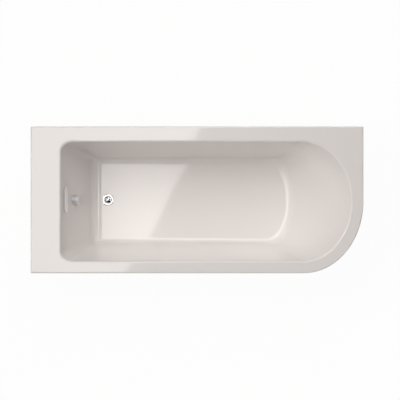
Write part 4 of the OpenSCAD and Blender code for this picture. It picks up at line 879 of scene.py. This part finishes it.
# -------------------------------- overflow
# A chromed plate stands off the tap end wall on two posts of a white moulded frame, over the slot that the water leaves by.
# Two long screws draw the frame and the moulded housing behind the wall together, with a gasket between.
cover_l, cover_h, cover_gap, cover_t = 128.0, 32.0, 7.0, 4.0


def crowned_plate(name, place, half_x, half_y, thick, crown, r):
    """A plate with a slightly crowned face and a rounded edge all round."""
    rows = [(0.5, 0.0), (0.12, 0.15), (0, 0.5), (0, thick - 1.5 - crown)]
    rows += [(1.3 * (1 - math.cos(a)), thick - 1.5 - crown + 1.3 * math.sin(a)) for a in arc(6, 15, 75)]
    rows += [(half_x * k, thick - 0.2 - crown * (1 - k) ** 2) for k in (0.2, 0.4, 0.6, 0.8)]
    rings = []
    for d, z in rows:
        c = max(r - d, 0.6)
        rings.append([place @ Vector((x, y, z)) for sx, sy, start in ((1, 1, 0), (-1, 1, 90), (-1, -1, 180), (1, -1, 270))
                      for x, y in bend(sx * (half_x - d - c), sy * (half_y - d - c), c, c, 8, start, 90)])
    return skin(name, rings)


cover = crowned_plate("overflow_cover_plate", on_tap_wall @ at(0, 0, cover_gap), cover_h / 2, cover_l / 2, cover_t, 0.6, 1.6)
fit(cover, chromed("cover_chrome", 0.32, bright=0.94), "chrome", "bath", "overflow_cover")
eased_solid("overflow_frame", white_plastic, 0.35)
eased_solid("overflow_housing", white_plastic, 0.6)
eased_solid("overflow_gasket", rubber, 0.3)
long_screw = turned("screw", [
    (0, 2), (1.2, 1.96), (2.4, 1.75), (3.2, 1.25), (3.6, 0.6), (3.6, 0), (2, 0), (2, -53), (1.4, -54.3), (0, -54.3)], sides=28)
cut_away(long_screw, *cross_cutter(2.2, 0.9, 0.7, 2.5))
screw_spots = [on_tap_wall @ at(0, side * 44, 2.3) for side in (-1, 1)]
scattered("overflow_screw_set", long_screw, screw_spots, zinc, "zinc_plated_steel", "overflow_screws")


# -------------------------------- control knob
# A turned, chromed knob with a finger dimple, on a plated spindle that runs in a chromed bush through the wall.
# Behind the wall a nut holds the bush, and a drum on the spindle winds the lever's cable.
knob_r, knob_l, bush_r, bush_t, bush_sleeve_l, spindle_r = 24.5, 24.0, 25.5, 3.5, 18.0, 5.0
grip_z, knob_bore_l = bush_t + 0.3, 14.0
satin_chrome = chromed("satin_chrome", 0.40, bright=0.84, lacquer=0.8)
sleeve_r, seat = 8.7, 0.05
bush = turned("knob_bush_turned", [
    (spindle_r + loose, -bush_sleeve_l), (sleeve_r, -bush_sleeve_l), (sleeve_r, seat), (bush_r, seat), (bush_r, bush_t - 1.2),
    (bush_r - 1, bush_t), (spindle_r + loose, bush_t)], on_knob, 128, 0.5)
fit(bush, satin_chrome, "chrome", "bath", "knob_bush")
bush_nut = faceted_nut("bush_nut_turned", 15 * math.sqrt(3), 5.0, 8.75, 6, on_knob @ at(0, 0, -laminate_t - 5.4))
fit(bush_nut, zinc, "zinc_plated_steel", "bath", "bush_nut")
knob = turned("control_knob_turned", [
    (0, knob_bore_l), (spindle_r + loose, knob_bore_l), (spindle_r + loose, 0), (knob_r - 1.5, 0), (knob_r - 0.5, 1), (knob_r, 2),
    (knob_r, knob_l - 4), (knob_r - 1, knob_l - 1.8), (knob_r - 3, knob_l - 0.6), (knob_r - 8, knob_l - 0.1), (knob_r - 16, knob_l),
    (0, knob_l)], on_knob @ at(0, 0, grip_z), 160, 1.2, 4)
dimple = turned("dimple", bend(0, 0, 8, 8, 32, -90, 180), on_knob @ at(9 - knob_r, 0, grip_z + knob_l + 5), 64)
cut_away(knob, dimple)
fit(knob, satin_chrome, "chrome", "knob", "control_knob")
drum_out, drum_r, drum_t = -30.0, 13.0, 6.0
low, high = drum_out - drum_t / 2, drum_out + drum_t / 2
groove_r, spindle_low, spindle_high = drum_r - 1.5, -52, grip_z + knob_bore_l - 1
spindle = turned("knob_spindle_turned", [
    (0, spindle_low), (spindle_r, spindle_low), (spindle_r, low), (drum_r, low), (drum_r, low + 1), (groove_r, low + 2.2),
    (groove_r, high - 2.2), (drum_r, high - 1), (drum_r, high), (spindle_r, high), (spindle_r, spindle_high), (0, spindle_high)],
    on_knob, 96, 0.5)
fit(spindle, zinc, "zinc_plated_steel", "knob", "knob_spindle")


# -------------------------------- overflow hose and control cable
# A ribbed polypropylene hose, pushed over the housing's and the waste body's spigots and held by a union nut at each end.
# The lever's cable runs beside it in a black plastic sheath, with a screwed gland where it enters each housing.
pivot_y, pivot_z = 24 * math.cos(math.radians(11)), stem_end - 2.8 + 24 * math.sin(math.radians(11))
box_low, box_end, gland_z = pivot_z - 21, pivot_y + 20, pivot_z - 14
inlet_z, inlet_end = (tube_end + box_low) / 2 - 2, waste_x - 57
hose_r, hose_rib, hose_wall, hose_grip, spigot_l = 16.0, 1.4, 1.3, 16.0, 24.0
housing_end, housing_slim = knob_drop + 36, 40.0
spigot_out = -laminate_t - 2.3 - (hose_r + 4) - 1


def through(points, steps):
    """A smooth line through points."""
    points = [Vector(p) for p in points]
    line = []
    for i in range(len(points) - 1):
        a, b, c, d = points[max(i - 1, 0)], points[i], points[i + 1], points[min(i + 2, len(points) - 1)]
        line += [0.5 * (2 * b + (c - a) * t + (2 * a - 5 * b + 4 * c - d) * t * t + (3 * b - 3 * c + d - a) * t ** 3)
                 for t in (s / steps for s in range(steps))]
    return line + [points[-1]]


def laid_line(name, points):
    """A line in metres for a tree to follow, from points in millimetres."""
    mesh = bpy.data.meshes.new(name)
    mesh.from_pydata([p / 1000 for p in points], [(i, i + 1) for i in range(len(points) - 1)], [])
    return stand(name, mesh)


ribbed = Tree("ribbed_hose", Radius="Float", Rib="Float", Pitch="Float", Wall="Float", Count="Int", Sides="Int")
radius, rib, pitch, wall, count, sides = ribbed.given("Radius", "Rib", "Pitch", "Wall", "Count", "Sides")
line = ribbed.node("MeshToCurve", sockets={"Mesh": ribbed.given("Geometry")})
stations = ribbed.node("ResampleCurve", {"mode": "COUNT"}, {"Curve": line, "Count": count})
round_profile = ribbed.node("CurvePrimitiveCircle", sockets={"Resolution": sides, "Radius": 1.0})
along_it, part_way = (ribbed.node("SplineParameter", out=measure) for measure in ("Length", "Factor"))
valley = radius - rib
wave = 0.5 - 0.5 * ribbed.node("ShaderNodeMath", {"operation": "COSINE"}, {0: along_it * math.tau / pitch})
from_end = ribbed.node("ShaderNodeMath", {"operation": "MINIMUM"}, {0: part_way, 1: 1.0 - part_way})
at_end = ribbed.node("ShaderNodeMath", {"operation": "LESS_THAN"}, {0: from_end, 1: 1e-5})
outer_skin, inner_skin = (
    ribbed.node("CurveToMesh", sockets={"Curve": curve, "Profile Curve": round_profile, "Scale": scale})
    for curve, scale in ((stations, valley + rib * wave ** 0.7), (line, valley - wall * (1.0 - at_end))))
inner_skin = ribbed.node("FlipFaces", sockets={"Mesh": inner_skin})
ribbed.ends_in(ribbed.node("MergeByDistance", sockets={"Geometry": ribbed.join(inner_skin, outer_skin), "Distance": 0.00002}))

hose_start, hose_off, hose_on = (on_tap_wall @ Vector((housing_end + spigot_l + down, 0, spigot_out))
                                 for down in (-hose_grip, 3, 2 * hose_r))
hose_in = Vector((inlet_end - 2 * hose_r, 0, inlet_z))
hose_bends = [Vector((mix(hose_on.x, hose_in.x, a), 0, mix(hose_on.z, hose_in.z, b)))
              for a, b in ((0.16, 0.22), (0.2, 0.45), (0.26, 0.67), (0.5, 0.87))]
hose_line = through([hose_start, hose_off, hose_on, *hose_bends, hose_in,
                     (inlet_end - 3, 0, inlet_z), (inlet_end + hose_grip, 0, inlet_z)], 12)
hose_line[1:1] = [hose_line[0].lerp(hose_line[1], 0.1)]  # the mouth's edge, close to each end
hose_line[-1:-1] = [hose_line[-1].lerp(hose_line[-2], 0.1)]
hose_length = sum((b - a).length for a, b in zip(hose_line, hose_line[1:]))
ribs = round(hose_length / 5)
hose_plastic = moulded("hose_plastic", (0.62, 0.63, 0.64), (0.55, 0.56, 0.57), 0.30)
hose = ribbed.grow("overflow_hose_ribbed", laid_line("hose_path", hose_line), 50, Radius=hose_r / 1000, Rib=hose_rib / 1000,
                   Wall=hose_wall / 1000, Pitch=hose_length / ribs / 1000, Count=ribs * 8 + 1, Sides=40, Material=hose_plastic)
fit(hose, hose_plastic, "hose_plastic", "bath", "overflow_hose")

union_spots = [on_tap_wall @ at(housing_end + spigot_l - hose_grip - 4, 0, spigot_out), at(inlet_end + 4, 0, inlet_z)]
lying, union_flat = Matrix.Rotation(math.pi / 2, 4, "Y"), 2 * (hose_r + 4) * math.cos(math.pi / 8)
unions = [faceted_nut("union", union_flat, hose_grip, hose_r + 0.3, 8, place @ lying) for place in union_spots]
fit(joined("hose_union_nuts", *unions), white_plastic, "white_plastic", "bath", "hose_nuts")

sheath = Tree("sheath", Radius="Float", Count="Int", Sides="Int")
radius, count, sides = sheath.given("Radius", "Count", "Sides")
line = sheath.node("MeshToCurve", sockets={"Mesh": sheath.given("Geometry")})
line = sheath.node("ResampleCurve", {"mode": "COUNT"}, {"Curve": line, "Count": count})
round_profile = sheath.node("CurvePrimitiveCircle", sockets={"Resolution": sides, "Radius": radius})
sheath.ends_in(sheath.node("CurveToMesh", sockets={"Curve": line, "Profile Curve": round_profile, "Fill Caps": True}))
cable_start = on_tap_wall @ Vector((knob_drop + drum_r, 0, drum_out))
cable_bends = ((-0.04, 95, 0.08), (0, 115, 0.26), (0.1, 125, 0.47), (0.24, 128, 0.68), (0.42, 130, 0.86), (0.65, 126, 0.97),
               (0.84, 116, 0.995), (0.96, 98, 1))  # the share of the way along X, Y itself, and the share of the way down
cable_line = through([(cable_start.x, housing_slim + y, cable_start.z) for y in (-4, 16, 32)]
                     + [(mix(cable_start.x, waste_x, a), y, mix(cable_start.z, gland_z, b)) for a, y, b in cable_bends]
                     + [(waste_x, box_end + y, gland_z) for y in (34, 16, -5)], 8)
black_plastic = moulded("sheath_plastic", (0.022, 0.022, 0.024), (0.016, 0.016, 0.017), 0.30)
cable = sheath.grow("control_cable_sheath", laid_line("cable_path", cable_line), 50,
                    Radius=0.0025, Count=160, Sides=20, Material=black_plastic)
fit(cable, black_plastic, "black_plastic", "bath", "control_cable")
eased_solid("cable_glands", grey_plastic, 0.3)
